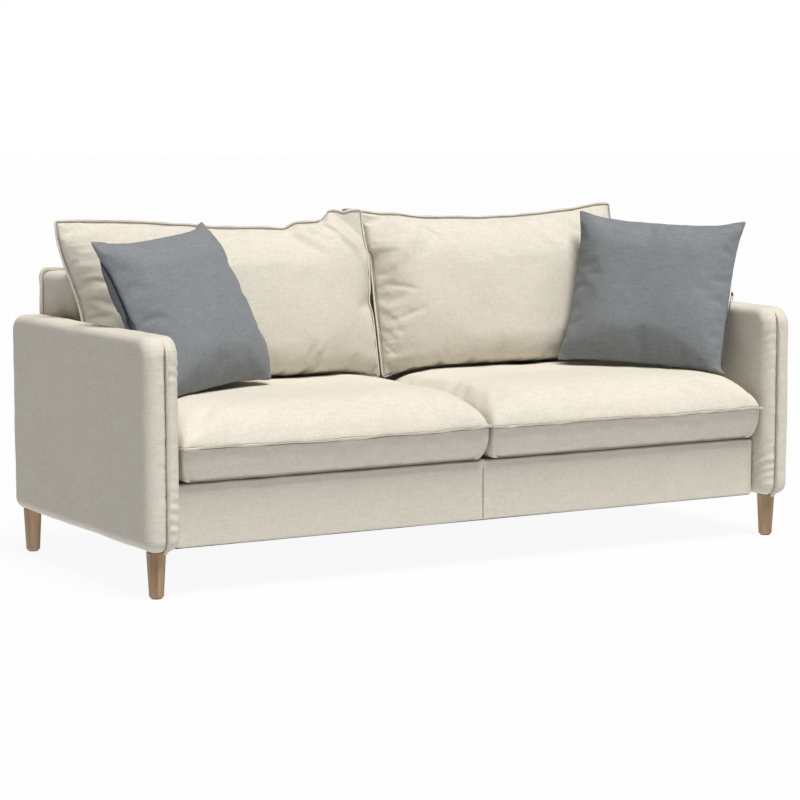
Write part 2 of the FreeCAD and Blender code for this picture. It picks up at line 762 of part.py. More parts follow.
def build():
    os.makedirs("parts", exist_ok=True)
    save("front_rail", front_rail())
    save("back_rail", back_rail())
    save("spring_rail", spring_rail())
    save("centre_beam", centre_beam())
    save("corner_blocks", corner_blocks())
    save("seat_springs", seat_springs())
    save("spring_clips", spring_clips())
    save("seat_deck_pad", seat_deck_pad())
    save("seat_deck_cloth", seat_deck_cloth())
    save("front_rail_padding", front_rail_padding())
    save("front_rail_cover", front_rail_cover())
    save("dust_cover", dust_cover())
    for name, (x, y) in leg_places().items():
        save(name, leg(x, y))
    save("leg_hanger_bolts", leg_hanger_bolts())
    save("leg_tee_nuts", leg_tee_nuts())
    save("leg_glides", leg_glides())
    save("frame_bolts", frame_bolts())
    save("frame_tee_nuts", frame_tee_nuts())
    save("back_frame", back_frame())
    save("back_webbing", back_webbing())
    save("back_padding", back_padding())
    save("back_cover", back_cover())
    save("back_rear_panel", back_rear_panel())
    save("back_flange", back_flange())
    for name, side in SIDES.items():
        save(name + "_side_rail", side_rail(side))
        save(name + "_arm_frame", arm_frame(side))
        save(name + "_arm_panels", arm_panels(side))
        save(name + "_arm_padding", arm_padding(side))
        save(name + "_arm_cover", arm_cover(side))
        save(name + "_arm_flange", arm_flange(side))
        save(name + "_seat_cushion_cover", seat_cushion_cover(side))
        save(name + "_seat_cushion_foam", seat_cushion_foam(side))
        save(name + "_seat_cushion_flange", seat_cushion_flange(side))
        save(name + "_back_cushion_cover", back_cushion_cover(side))
        save(name + "_back_cushion_fill", back_cushion_fill(side))
        save(name + "_back_cushion_flange", back_cushion_flange(side))
        save(name + "_pillow_cover", pillow_cover(name))
        save(name + "_pillow_insert", pillow_insert(name))
        save(name + "_pillow_zipper", pillow_zipper(name))
        save(name + "_pillow_zipper_slider", pillow_zipper_slider(name))


build()
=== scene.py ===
import math
from functools import partial

import bmesh
import bpy
import numpy as np
from mathutils import Euler, Matrix, Vector, noise
from mathutils.bvhtree import BVHTree


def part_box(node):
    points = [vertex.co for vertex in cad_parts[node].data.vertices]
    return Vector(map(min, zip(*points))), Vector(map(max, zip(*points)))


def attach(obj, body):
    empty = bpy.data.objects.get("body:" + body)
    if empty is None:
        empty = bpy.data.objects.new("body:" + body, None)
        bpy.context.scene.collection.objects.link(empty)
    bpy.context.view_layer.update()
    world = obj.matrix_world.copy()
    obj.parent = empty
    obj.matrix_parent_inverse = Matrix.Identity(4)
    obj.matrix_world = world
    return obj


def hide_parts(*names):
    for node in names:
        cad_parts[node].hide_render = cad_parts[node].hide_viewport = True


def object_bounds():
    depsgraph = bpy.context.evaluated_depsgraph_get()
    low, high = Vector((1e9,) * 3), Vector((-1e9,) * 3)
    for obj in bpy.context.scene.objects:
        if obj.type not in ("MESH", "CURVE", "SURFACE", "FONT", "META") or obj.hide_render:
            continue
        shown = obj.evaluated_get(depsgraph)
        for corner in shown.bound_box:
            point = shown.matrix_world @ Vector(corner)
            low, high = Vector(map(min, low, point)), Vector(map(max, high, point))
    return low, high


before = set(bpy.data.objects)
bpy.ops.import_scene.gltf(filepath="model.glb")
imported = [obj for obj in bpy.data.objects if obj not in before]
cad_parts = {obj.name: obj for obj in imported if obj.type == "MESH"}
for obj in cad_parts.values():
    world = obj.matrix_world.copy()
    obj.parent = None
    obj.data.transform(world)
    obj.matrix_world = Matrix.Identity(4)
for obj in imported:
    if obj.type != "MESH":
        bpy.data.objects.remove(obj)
cad_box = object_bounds()

# Two-seat sofa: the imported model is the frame; the fabric, the cushions and the
# pillows are made here, in metres, in the places of the nodes that they replace.
# Sizes that the frame doesn't give are named first, piece by piece.

SIDES = {"left": -1, "right": 1}

ARM_EDGE_R = 0.032
ARM_TOP_EDGE_R = 0.021
ARM_CORNER_R = (0.050, 0.042, 0.034, 0.034)  # front-top, back-top, back-bottom, front-bottom
ARM_CELL = 0.0085
ARM_SEAM_SHIFT = 0.006
ARM_FIN_PROUD = 0.009
ARM_FIN_THICK = 0.0062
ARM_FIN_STEPS = 90
ARM_FOAM_INSET = 0.0055
RAIL_EDGE_R = 0.013
RAIL_SEAM_GAP = -0.0016
BACK_EDGE_R = 0.024
BACK_CORNER_R = 0.026
BACK_FIN_R = 0.012
BACK_FIN_THICK = 0.0045
SEAT_CELLS = (64, 50, 8)  # across, deep, and up the boxed side
SEAT_PLAN_R = 0.014
SEAT_LEAN_IN = 0.032
SEAT_LOW_R = 0.009
SEAT_FRONT_POWER = 5
SEAT_REAR_POWER = 7
SEAT_END_POWER = 8
SEAT_FIN_PROUD = 0.0125
SEAT_FIN_SIDE_PROUD = 0.0035
SEAT_FIN_TILT = 8.0
SEAT_FIN_THICK = 0.0054
CUSHION_CELLS = (112, 60)
CUSHION_HALF_Z = 0.218
CUSHION_TOP_DIP = 0.034
CUSHION_FRONT = 0.116
CUSHION_REAR = 0.060
CUSHION_SAG = 0.094
CUSHION_FIN_PROUD = 0.0075
CUSHION_FIN_THICK = 0.0032
EMPTY_CORNER = (0.343, 0.6583, 0.226, 0.7524)  # a point on its fold and the way across it, x and z in turn
PILLOW_CELLS = (48, 48)
PILLOW_HALF_X = 0.2295
PILLOW_EAR_X = 0.250
PILLOW_MID_Z = 0.206
PILLOW_LOW_Z = 0.220
PILLOW_EAR_Z = 0.232
PILLOW_CORNER_R = 0.016
PILLOW_FRONT = 0.074
PILLOW_REAR = 0.058
FLAP_STEPS = 90
START_SHARE = 0.9  # of a panel's depth, before the cloth simulation fills it
PILLOW_CLEAR = 0.002
CUSHION_CLEAR = 0.004
CORE_INSET = 0.012
# Size of the painted seam shade lines: thin dark tubes laid in the seams' creases to stand for their shade.
SHADE_LINE_R = 0.0009
SHADE_LINE_SIDES = 6
SIM_FRAMES = 20
CLOTH = {
    "quality": 5, "mass": 0.25, "tension_stiffness": 18, "compression_stiffness": 12, "shear_stiffness": 6,
    "tension_damping": 8, "compression_damping": 8, "shear_damping": 8, "air_damping": 2,
    "use_pressure": True, "vertex_group_mass": "sewn",
}
# Pressure, slack and bending of each kind's cloth, and how far it may move from where it starts.
SEAT_CLOTH = (2.0, 0.012, 1.5, 0.008)
CUSHION_CLOTH = (5.0, 0.025, 0.6, 0.022)
PILLOW_CLOTH = (5.0, 0.022, 0.6, 0.016)

SKY_STRENGTH = 0.02
SUN_STRENGTH = 4.2
SUN_ANGLE = 28
SUN_TOWARDS = (-0.05, 0.41, -1.15)
FILL_STRENGTH = 0.27
FILL_ANGLE = 60
FILL_TOWARDS = (0.0, 1.0, -0.25)
FLOOR_HALF = 60.0
FLOOR_GLOW = 0.93
CAMERA_PLACE = (-3.530, -5.983, 1.187)
CAMERA_DOWN = 6.448
CAMERA_TURN = -30.33
CAMERA_LENS = 113.564


# Mesh helpers.
def make_object(name, points, faces, material):
    """A smooth-shaded mesh object with outward normals."""
    mesh = bpy.data.meshes.new(name)
    mesh.from_pydata([tuple(p) for p in points], [], [tuple(f) for f in faces])
    work = bmesh.new()
    work.from_mesh(mesh)
    bmesh.ops.recalc_face_normals(work, faces=work.faces[:])
    if work.calc_volume(signed=True) < 0:
        bmesh.ops.reverse_faces(work, faces=work.faces[:])
    work.to_mesh(mesh)
    work.free()
    mesh.polygons.foreach_set("use_smooth", [True] * len(mesh.polygons))
    mesh.materials.append(material)
    obj = bpy.data.objects.new(name, mesh)
    bpy.context.scene.collection.objects.link(obj)
    return obj


def read_points(mesh):
    flat = np.zeros(len(mesh.vertices) * 3)
    mesh.vertices.foreach_get("co", flat)
    return flat.reshape(-1, 3)


def write_points(mesh, points):
    mesh.vertices.foreach_set("co", np.asarray(points, float).ravel())
    mesh.update()


def read_normals(mesh):
    flat = np.zeros(len(mesh.vertices) * 3)
    mesh.vertex_normals.foreach_get("vector", flat)
    return flat.reshape(-1, 3)


def displace(obj, height):
    """Moves each point along its normal by height(x, y, z), given in the object's own axes."""
    points = read_points(obj.data)
    normals = read_normals(obj.data)
    shift = np.array([height(*p) for p in points])
    write_points(obj.data, points + normals * shift[:, None])


def subdivide(obj):
    """Applies one Catmull-Clark subdivision to the mesh."""
    modifier = obj.modifiers.new("Subdivision", "SUBSURF")
    modifier.levels = 1
    modifier.render_levels = 1
    depsgraph = bpy.context.evaluated_depsgraph_get()
    made = bpy.data.meshes.new_from_object(obj.evaluated_get(depsgraph))
    old = obj.data
    obj.modifiers.clear()
    obj.data = made
    made.name = old.name
    bpy.data.meshes.remove(old)


def ripple(x, y, z, size, seed=0.0):
    """Smooth noise from -1 to 1 with features of about that size in metres."""
    return noise.noise(Vector((x / size + seed, y / size - seed, z / size + 2 * seed)))


def hill(offset, width):
    """1 where the offset is 0, and near 0 beyond twice the width."""
    return math.exp(-(offset / width) ** 2)


def fade(value, start, end):
    """0 before start, 1 after end, smooth between; end may be below start."""
    share = (value - start) / (end - start)
    share = min(1.0, max(0.0, share))
    return share * share * (3 - 2 * share)


def finish_piece(obj, body, nodes=()):
    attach(obj, body)
    if nodes:
        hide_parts(*nodes)
    return obj


# Lattices and slabs.
def number_points(quads):
    """Numbers the places that the quads' corners name, in the order met: (places, numbered quads)."""
    index = {}
    numbered = [tuple(index.setdefault(place, len(index)) for place in quad) for quad in quads]
    return np.array(list(index)), numbered


def box_lattice(ni, nj, nk):
    """Whole-number points on the surface of a box of cells, and the quads between them."""
    quads = []
    faces = ((ni, nj, nk, lambda a, b, c: (a, b, c)), (ni, nk, nj, lambda a, b, c: (a, c, b)),
             (nj, nk, ni, lambda a, b, c: (c, a, b)))
    for cells_a, cells_b, far, at in faces:
        for c in (0, far):
            for a in range(cells_a):
                for b in range(cells_b):
                    quads.append((at(a, b, c), at(a + 1, b, c), at(a + 1, b + 1, c), at(a, b + 1, c)))
    return number_points(quads)


def lens_lattice(ni, nj):
    """Two grids that share their border: (i, j, face) with face 0 at the border, -1 front, 1 rear."""
    def at(i, j, face):
        return i, j, 0 if i in (0, ni) or j in (0, nj) else face

    return number_points([(at(i, j, face), at(i + 1, j, face), at(i + 1, j + 1, face), at(i, j + 1, face))
                          for face in (-1, 1) for i in range(ni) for j in range(nj)])


def border_loop(index, ni, nj):
    """What index holds for the border of a grid of cells, in order round it."""
    loop = [index[i, 0] for i in range(ni)]
    loop += [index[ni, j] for j in range(nj)]
    loop += [index[i, nj] for i in range(ni, 0, -1)]
    return loop + [index[0, j] for j in range(nj, 0, -1)]


def edge_steps(length, radius, cell, around=6):
    """Distances from one side to the other: even angles round each edge, even cells between."""
    low = [radius * (1 - math.cos(math.pi / 2 * k / around)) for k in range(around)]
    cells = max(2, round((length - 2 * radius) / cell))
    middle = [radius + (length - 2 * radius) * k / cells for k in range(cells + 1)]
    high = [length - d for d in reversed(low)]
    return np.array(low + middle + high)


def rounded_slab(size_u, size_v, half_w, corners, edge_front, edge_back, cell, across=4, top_edge=None):
    """Points (u, v, w) and quads of a slab with rounded corners and edges; u and v start at 0.
    corners are at (u0, v1), (u1, v1), (u1, v0), (u0, v0); edge_front rounds the w = half_w side.
    top_edge is the radius that both sides' edges tighten to at the top."""
    largest = max(edge_front, edge_back)
    us = edge_steps(size_u, largest, cell)
    vs = edge_steps(size_v, largest, cell)
    lattice, quads = box_lattice(len(us) - 1, len(vs) - 1, across)
    points = []
    for i, j, k in lattice:
        u, v = us[i], vs[j]
        inset = min(u, size_u - u, v, size_v - v)
        tight = 0.0
        if top_edge is not None:
            tight = fade(v, size_v - 0.10, size_v - 0.03) * fade(min(u, size_u - u), 0.005, 0.06)
        front = edge_front + tight * ((top_edge or 0.0) - edge_front)
        back = edge_back + tight * ((top_edge or 0.0) - edge_back)
        u, v = round_corner(u, v, size_u, size_v, corners)
        if k == across:
            w = half_w - edge_drop(inset, front)
        elif k == 0:
            w = -half_w + edge_drop(inset, back)
        else:
            share = k / across
            w = (half_w - front) * share - (half_w - back) * (1 - share)
        points.append((u, v, w))
    return np.array(points), quads


def edge_drop(inset, radius):
    if inset >= radius:
        return 0.0
    return radius - math.sqrt(max(0.0, radius ** 2 - (radius - inset) ** 2))


def round_corner(u, v, size_u, size_v, corners):
    """Turns the square corner of the lattice into a round one, inset by inset."""
    places = ((0, 1), (1, 1), (1, 0), (0, 0))
    for (side_u, side_v), radius in zip(places, corners):
        a = radius - (size_u - u if side_u else u)
        b = radius - (size_v - v if side_v else v)
        if a > 0 and b > 0:
            scale = max(a, b) / math.hypot(a, b)
            u = size_u - radius + a * scale if side_u else radius - a * scale
            v = size_v - radius + b * scale if side_v else radius - b * scale
            return u, v
    return u, v


def frame_cloth(name, points, quads, height, nodes):
    """A cream cloth that stays on the frame, its surface moved by height."""
    cloth = make_object(name, points, quads, LOOKS["cream"])
    subdivide(cloth)
    displace(cloth, height)
    return finish_piece(cloth, "sofa_frame", nodes)


def slab_piece(name, low, high, thin, edge, look, nodes, cell):
    """A soft slab between two corners, thin along one axis, with slightly uneven faces."""
    size = high - low
    mid = (high + low) / 2
    a, b, c = {"x": (1, 2, 0), "y": (0, 2, 1), "z": (0, 1, 2)}[thin]
    edge = min(edge, size[c] / 2.2)
    grid, quads = rounded_slab(size[a], size[b], size[c] / 2, (edge * 1.5,) * 4, edge, edge, cell, 2)
    points = np.zeros((len(grid), 3))
    points[:, a] = low[a] + grid[:, 0]
    points[:, b] = low[b] + grid[:, 1]
    points[:, c] = mid[c] + grid[:, 2]
    piece = make_object(name, points, quads, LOOKS[look])
    displace(piece, lambda x, y, z: 0.0005 * ripple(x, y, z, 0.06) - 0.0004)
    return finish_piece(piece, "sofa_frame", nodes)


# Materials.
class Shader:
    """A material's node tree, with short calls to add and join nodes."""

    def __init__(self, name):
        self.material = bpy.data.materials.new(name)
        self.material.use_nodes = True
        self.tree = self.material.node_tree
        self.bsdf = self.tree.nodes["Principled BSDF"]
        coords = self.tree.nodes.new("ShaderNodeTexCoord")
        self.place = coords.outputs["Object"]
        self.normal = coords.outputs["Normal"]

    def feed(self, socket, value):
        if isinstance(value, bpy.types.NodeSocket):
            self.tree.links.new(value, socket)
        else:
            socket.default_value = value

    def node(self, kind, *values, operation=None, **named):
        """A new node of that kind: its first inputs are fed with the values, then those named."""
        node = self.tree.nodes.new("ShaderNode" + kind)
        if operation:
            node.operation = operation
        for socket, value in zip(node.inputs, values):
            self.feed(socket, value)
        for name, value in named.items():
            self.feed(node.inputs[name], value)
        return node

    def math(self, operation, first, second=0.0):
        return self.node("Math", first, second, operation=operation).outputs[0]

    def add(self, first, second):
        return self.math("ADD", first, second)

    def times(self, first, second):
        return self.math("MULTIPLY", first, second)

    def split(self, vector):
        return self.node("SeparateXYZ", vector).outputs

    def join(self, x, y, z):
        return self.node("CombineXYZ", x, y, z).outputs[0]

    def scaled(self, vector, scale):
        return self.node("VectorMath", vector, scale, operation="MULTIPLY").outputs[0]

    def noise(self, vector, scale, detail=2.0, roughness=0.5):
        return self.node("TexNoise", vector, Scale=scale, Detail=detail, Roughness=roughness).outputs["Fac"]

    def ramp(self, fac, stops):
        node = self.node("ValToRGB", fac)
        elements = node.color_ramp.elements
        while len(elements) < len(stops):
            elements.new(0.5)
        for element, (place, colour) in zip(elements, stops):
            element.position = place
            element.color = (*colour, 1.0)
        return node.outputs[0]

    def bump(self, height, strength, distance):
        self.set(Normal=self.node("Bump", Strength=strength, Distance=distance, Height=height).outputs[0])

    def set(self, **values):
        for name, value in values.items():
            self.feed(self.bsdf.inputs[name.replace("_", " ")], value)
        return self.material


def cloth_coords(shader):
    """Two in-plane distances on the face that the surface mostly looks towards."""
    x, y, z = shader.split(shader.place)
    nx, ny, nz = [shader.math("ABSOLUTE", n) for n in shader.split(shader.normal)]
    on_z = shader.math("GREATER_THAN", nz, shader.math("MAXIMUM", nx, ny))
    not_z = shader.math("SUBTRACT", 1.0, on_z)
    on_x = shader.times(not_z, shader.math("GREATER_THAN", nx, ny))
    not_x = shader.math("SUBTRACT", 1.0, on_x)
    u = shader.add(shader.times(x, not_x), shader.times(y, on_x))
    v = shader.add(shader.times(z, not_z), shader.times(y, on_z))
    return u, v


def fabric(name, dark, mid, light, thread=0.0016, sheen=0.06, upright=False):
    """Plain weave of uneven yarn: threads that thicken and thin, and vary in tone along their length.
    An upright cloth is one panel in the object's own XZ plane."""
    shader = Shader(name)
    add, times = shader.add, shader.times
    if upright:
        u, _, v = shader.split(shader.place)
    else:
        u, v = cloth_coords(shader)
    slub, yarn_share, broad_share, cloud_share, spread = 85.0, 0.33, 0.12, 0.10, 0.15
    tall = shader.join(times(u, 1 / thread), times(v, slub), 0.0)
    wide = shader.join(times(u, slub), times(v, 1 / thread), 7.3)
    warp, weft = [shader.noise(run, 0.9, 2.0, 0.6) for run in (tall, wide)]
    broad_tall, broad_wide = [shader.noise(shader.scaled(run, (0.3, 0.3, 1.0)), 1.0, 1.0)
                              for run in (tall, wide)]
    cloud = shader.noise(shader.place, 6.0, 3.0)
    yarn = add(times(warp, yarn_share), times(weft, yarn_share))
    broad = add(times(broad_tall, broad_share), times(broad_wide, broad_share))
    tone = add(add(yarn, broad), times(cloud, cloud_share))
    middle = (yarn_share * 2 + broad_share * 2 + cloud_share) / 2
    colour = shader.ramp(tone, [(middle - spread, dark), (middle, mid), (middle + spread, light)])
    turn = 2 * math.pi / thread
    over = times(*[shader.math("SINE", times(distance, turn)) for distance in (u, v)])
    shader.bump(add(times(over, 0.25), yarn), 0.30, 0.0005)
    rough = add(0.80, times(tone, 0.2))
    return shader.set(Base_Color=colour, Roughness=rough, Sheen_Weight=sheen, Sheen_Roughness=0.5)


def timber(name, dark, light, along="z", gloss=0.5, rings=38.0):
    """Straight grain that runs along one axis, with fine dark pores."""
    shader = Shader(name)
    run = shader.scaled(shader.place, [0.05 if axis == along else 1.0 for axis in "xyz"])
    figure = shader.noise(run, rings, 4.0, 0.6)
    pores = shader.noise(run, rings * 22, 2.0, 0.7)
    fac = shader.add(shader.times(figure, 0.75), shader.times(pores, 0.25))
    middle = tuple((a + b) / 2 for a, b in zip(dark, light))
    colour = shader.ramp(fac, [(0.34, dark), (0.52, middle), (0.66, light)])
    shader.bump(pores, 0.12, 0.0004)
    return shader.set(Base_Color=colour, Roughness=shader.add(gloss, shader.times(pores, 0.18)))


def speckled(name, dark, light, scale, roughness=0.7, metallic=0.0, bump=0.15):
    """Material with fine tone variation and a matching bump: foam, felt, board, metal, plastic."""
    shader = Shader(name)
    fine = shader.noise(shader.place, scale, 3.0, 0.6)
    broad = shader.noise(shader.place, scale / 25, 2.0)
    fac = shader.add(shader.times(fine, 0.7), shader.times(broad, 0.3))
    colour = shader.ramp(fac, [(0.36, dark), (0.64, light)])
    shader.bump(fine, bump, 0.0008)
    rough = shader.add(roughness - 0.1, shader.times(fine, 0.2))
    return shader.set(Base_Color=colour, Roughness=rough, Metallic=metallic)


def make_materials():
    cream = ((0.545, 0.508, 0.43), (0.64, 0.602, 0.52), (0.72, 0.685, 0.61))
    pine = ((0.50, 0.34, 0.18), (0.72, 0.56, 0.36))
    looks = {
        "cream": fabric("cream_weave", *cream),
        "cream_panel": fabric("cream_weave_panel", *cream, upright=True),
        "grey": fabric("grey_weave", (0.142, 0.154, 0.165), (0.196, 0.211, 0.224),
                       (0.25, 0.267, 0.281), thread=0.0013, sheen=0.05, upright=True),
        # Painted shade: a much darker copy of the grey weave, for the flap along the pillow's zipped edge,
        # where that side of the pillow lies in shade.
        "grey_painted_shade": fabric("grey_weave_painted_shade", (0.034, 0.039, 0.045), (0.055, 0.061, 0.069),
                            (0.082, 0.089, 0.098), thread=0.0013, sheen=0.03),
        "leg": timber("oak_leg", (0.24, 0.14, 0.07), (0.56, 0.385, 0.235)),
        "board": speckled("hardboard", (0.16, 0.09, 0.045), (0.30, 0.18, 0.10), 900),
        "foam": speckled("foam", (0.66, 0.60, 0.44), (0.82, 0.77, 0.62), 700, 0.9, bump=0.5),
        "fibre": speckled("fibre_fill", (0.78, 0.78, 0.77), (0.92, 0.92, 0.91), 160, 0.95, bump=0.6),
        "felt": speckled("felt", (0.20, 0.20, 0.21), (0.42,) * 3, 500, 0.95, bump=0.5),
        "lining": fabric("lining", (0.02,) * 3, (0.035, 0.035, 0.036), (0.06,) * 3, 0.0011),
        "webbing": fabric("webbing", (0.05, 0.045, 0.04), (0.10, 0.09, 0.08), (0.30, 0.24, 0.16), 0.0024),
        "spring": speckled("spring_steel", (0.10,) * 3, (0.22,) * 3, 300, 0.38, 1.0),
        "zinc": speckled("zinc_steel", (0.45, 0.45, 0.44), (0.66, 0.66, 0.64), 240, 0.32, 1.0),
        "plastic": speckled("glide_plastic", (0.035, 0.035, 0.037), (0.07,) * 3, 1200, 0.45),
        "zip_tape": fabric("zip_tape", (0.06, 0.065, 0.07), (0.10, 0.105, 0.11), (0.15, 0.155, 0.16), 0.0009),
        "nickel": speckled("zip_metal", (0.05, 0.052, 0.055), (0.11, 0.112, 0.118), 900, 0.42, 1.0, 0.05),
        # Painted shade: a dark brown-grey for the seam lines, which stand for the shade in the seams'
        # creases.
        "thread": speckled("painted_seam_shade", (0.17, 0.15, 0.125), (0.26, 0.235, 0.195), 2500, 0.8, bump=0.6),
    }
    for axis in "xyz":
        looks["pine_" + axis] = timber("pine_along_" + axis, *pine, axis, 0.7, 22.0)
    return looks


LOOKS = make_materials()
NODES_BY_LOOK = {
    "pine_x": "front_rail back_rail spring_rail back_frame", "pine_y": "centre_beam side_rail arm_frame",
    "pine_z": "corner_blocks", "board": "arm_panels", "leg": "leg_front leg_back", "spring": "seat_springs",
    "plastic": "spring_clips leg_glides", "zinc": "leg_hanger_bolts leg_tee_nuts frame_bolts frame_tee_nuts",
    "webbing": "back_webbing", "zip_tape": "pillow_zipper", "nickel": "pillow_zipper_slider",
}
NODE_LOOKS = {node: look for look, nodes in NODES_BY_LOOK.items() for node in nodes.split()}


def dress_cad_nodes():
    for name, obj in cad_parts.items():
        for side in SIDES:
            name = name.removeprefix(side + "_").removesuffix("_" + side)
        if name not in NODE_LOOKS:
            continue
        look = LOOKS[NODE_LOOKS[name]]
        for index in range(len(obj.data.materials)):
            obj.data.materials[index] = look
        if not obj.data.materials:
            obj.data.materials.append(look)


# Fins: the double flanges sewn into the seams.
FIN_PROFILE = ((-0.5, -0.35), (-0.5, 0.35), (-0.46, 0.8), (-0.28, 1.0), (-0.10, 0.86), (0.0, 0.70),
               (0.10, 0.86), (0.28, 1.0), (0.46, 0.8), (0.5, 0.35), (0.5, -0.35))


def strip_faces(count, width, closed):
    """Quads between the rings of a strip, and an end face at each end of an open one."""
    faces = []
    for index in range(count if closed else count - 1):
        base = index * width
        following = (index + 1) % count * width
        for k in range(width):
            step = (k + 1) % width
            faces.append((base + k, base + step, following + step, following + k))
    if not closed:
        faces.append(tuple(range(width)))
        faces.append(tuple(reversed(range((count - 1) * width, count * width))))
    return faces


def fin_mesh(name, places, outs, sides, prouds, thick, closed, wave, seed, look="cream"):
    """A double-lipped strip along a line: outs point away from the cushion, sides across the strip."""
    points = []
    along = 0.0
    for index, (place, out, side) in enumerate(zip(places, outs, sides)):
        if index:
            along += np.linalg.norm(place - places[index - 1])
        sway = wave * (ripple(along, seed, 0.0, 0.035, seed) + ripple(along, seed, 1.0, 0.09, seed))
        height = prouds[index] * (1 + 0.16 * ripple(along, 0.0, seed, 0.05, seed))
        for across, up in FIN_PROFILE:
            lean = sway * max(0.0, up)
            split = 1 + 0.25 * max(0.0, up) * ripple(along, 3.0, seed, 0.03, seed)
            points.append(place + out * height * up + side * (across * thick * split + lean))
    fin = make_object(name, points, strip_faces(len(places), len(FIN_PROFILE), closed), LOOKS[look])
    subdivide(fin)
    return fin


def seam_shade_line(name, places, outs, sides, shift_out, shift_side, closed=False, body="sofa_frame"):
    """The seam's stitched crease at the foot of a flange, drawn as painted shade: a thin dark round tube
    beside it.
    """
    points = []
    for place, out, side in zip(places, outs, sides):
        middle = place + out * shift_out + side * shift_side
        for k in range(SHADE_LINE_SIDES):
            turn = 2 * math.pi * k / SHADE_LINE_SIDES
            points.append(middle + SHADE_LINE_R * (out * math.cos(turn) + side * math.sin(turn)))
    line = make_object(name, points, strip_faces(len(places), SHADE_LINE_SIDES, closed), LOOKS["thread"])
    finish_piece(line, body)


def bend(edge, end, radius, up, degrees):
    """A stop on a round corner that starts at the edge and is that far round: place and outward way."""
    turn = math.radians(degrees)
    return (edge + radius * (1 - math.cos(turn)), end - up * radius * (1 - math.sin(turn)),
            -math.cos(turn), up * math.sin(turn))


def make_route_fin(name, node, route, thin, at, side, prouds, thick, wave, seed, seam_out, seam_side):
    """An open flange and its painted seam shade line along the route's stops; the thin axis of all of them is
    at.
    """
    places = [np.insert(stop[:2], thin, at) for stop in route]
    outs = [np.insert(stop[2:], thin, 0.0) for stop in route]
    sides = [side * np.eye(3)[thin]] * len(route)
    fin = fin_mesh(name + "_fin", places, outs, sides, prouds, thick, False, wave, seed)
    seam_shade_line(name + "_seam", places, outs, sides, seam_out, seam_side)
    finish_piece(fin, "sofa_frame", [node])


# Arms.
def make_arm(name, side):
    low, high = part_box(name + "_arm_cover")
    depth = high.y - low.y
    tall = high.z - low.z
    half = (high.x - low.x) / 2
    mid_x = (high.x + low.x) / 2
    grid, quads = rounded_slab(depth, tall, half, ARM_CORNER_R, ARM_EDGE_R, ARM_EDGE_R, ARM_CELL, 8,
                               ARM_TOP_EDGE_R)
    points = [(mid_x + side * w, low.y + u, low.z + v) for u, v, w in grid]
    seam_x = mid_x - side * ARM_SEAM_SHIFT
    seed = 3.1 if side < 0 else 8.4

    def height(x, y, z):
        outward = side * (x - seam_x)
        front = fade(y, low.y + 0.060, low.y + 0.012)
        seam = front * fade(z, high.z - 0.018, high.z - 0.045)
        groove = -0.0050 * seam * hill(outward, 0.0055)
        near = hill(outward, 0.024) * seam
        pucker = 0.0016 * near * ripple(0.0, 0.3 * outward, z, 0.011, seed)
        soft = 0.0018 * ripple(x * 0.5, y, z, 0.16, seed) + 0.0007 * ripple(x, y, z, 0.05, seed)
        dent = -0.0022 * fade(z, high.z - 0.06, high.z) * hill(y - low.y - 0.52 * depth, 0.10)
        hollow = -0.0040 * hill(z - high.z + 0.062, 0.030) * hill(outward - 0.012, 0.012) * front
        return groove + pucker + soft + dent + hollow + arm_folds(y - low.y, z - low.z, tall, outward, seed)

    cloth = frame_cloth(name + "_arm_cloth", points, quads, height, [name + "_arm_cover"])
    make_arm_fin(name, side, seam_x, low, high)
    make_arm_foam(name, side, low, high)
    return cloth


def arm_folds(deep, up, tall, outward, seed):
    """Gathers of the inner strip beside the seam, strongest near its lower and upper ends."""
    strip = fade(outward, 0.002, -0.010) * fade(deep, 0.115, 0.030)
    low_end = hill(up - 0.085, 0.070)
    high_end = hill(tall - 0.085 - up, 0.050)
    wander = 0.012 * ripple(deep, up, seed, 0.05, seed)
    rows = math.sin((up + 0.55 * deep + wander) / 0.0042)
    patch = 0.55 + 0.45 * ripple(deep, up, 0.0, 0.030, seed + 2.0)
    inside = fade(up, 0.020, 0.050)
    return 0.0024 * strip * inside * (low_end + 0.8 * high_end) * rows * patch


def make_arm_fin(name, side, seam_x, low, high):
    """The flange follows the middle of the front edge, from the top's front corner to the underside."""
    top, low_corner = ARM_CORNER_R[0], ARM_CORNER_R[3]
    top_z, low_z = high.z - top, low.z + low_corner
    route = [bend(low.y, high.z, top, 1, 48 - 48 * step / 6) for step in range(7)]
    route += [(low.y, top_z + (low_z - top_z) * step / ARM_FIN_STEPS, -1.0, 0.0)
              for step in range(1, ARM_FIN_STEPS)]
    route += [bend(low.y, low.z, low_corner, -1, 70 * step / 9) for step in range(10)]
    prouds = [ARM_FIN_PROUD * min(1.0, 0.25 + index / 12) for index in range(len(route))]
    make_route_fin(name + "_arm", name + "_arm_flange", route, 0, seam_x, side, prouds, ARM_FIN_THICK, 0.0026,
                   4.0 + side, -0.0030, ARM_FIN_THICK / 2 + 0.0012)


def make_arm_foam(name, side, low, high):
    inset = ARM_FOAM_INSET
    corners = [radius - inset for radius in ARM_CORNER_R]
    grid, quads = rounded_slab(high.y - low.y - 2 * inset, high.z - low.z - 2 * inset,
                               (high.x - low.x) / 2 - inset, corners, ARM_EDGE_R - inset,
                               ARM_EDGE_R - inset, 0.03, 3)
    mid_x = (high.x + low.x) / 2
    points = [(mid_x + side * w, low.y + inset + u, low.z + inset + v) for u, v, w in grid]
    foam = make_object(name + "_arm_foam", points, quads, LOOKS["foam"])
    displace(foam, lambda x, y, z: -0.0006 + 0.0005 * ripple(x, y, z, 0.04))
    finish_piece(foam, "sofa_frame", [name + "_arm_padding"])


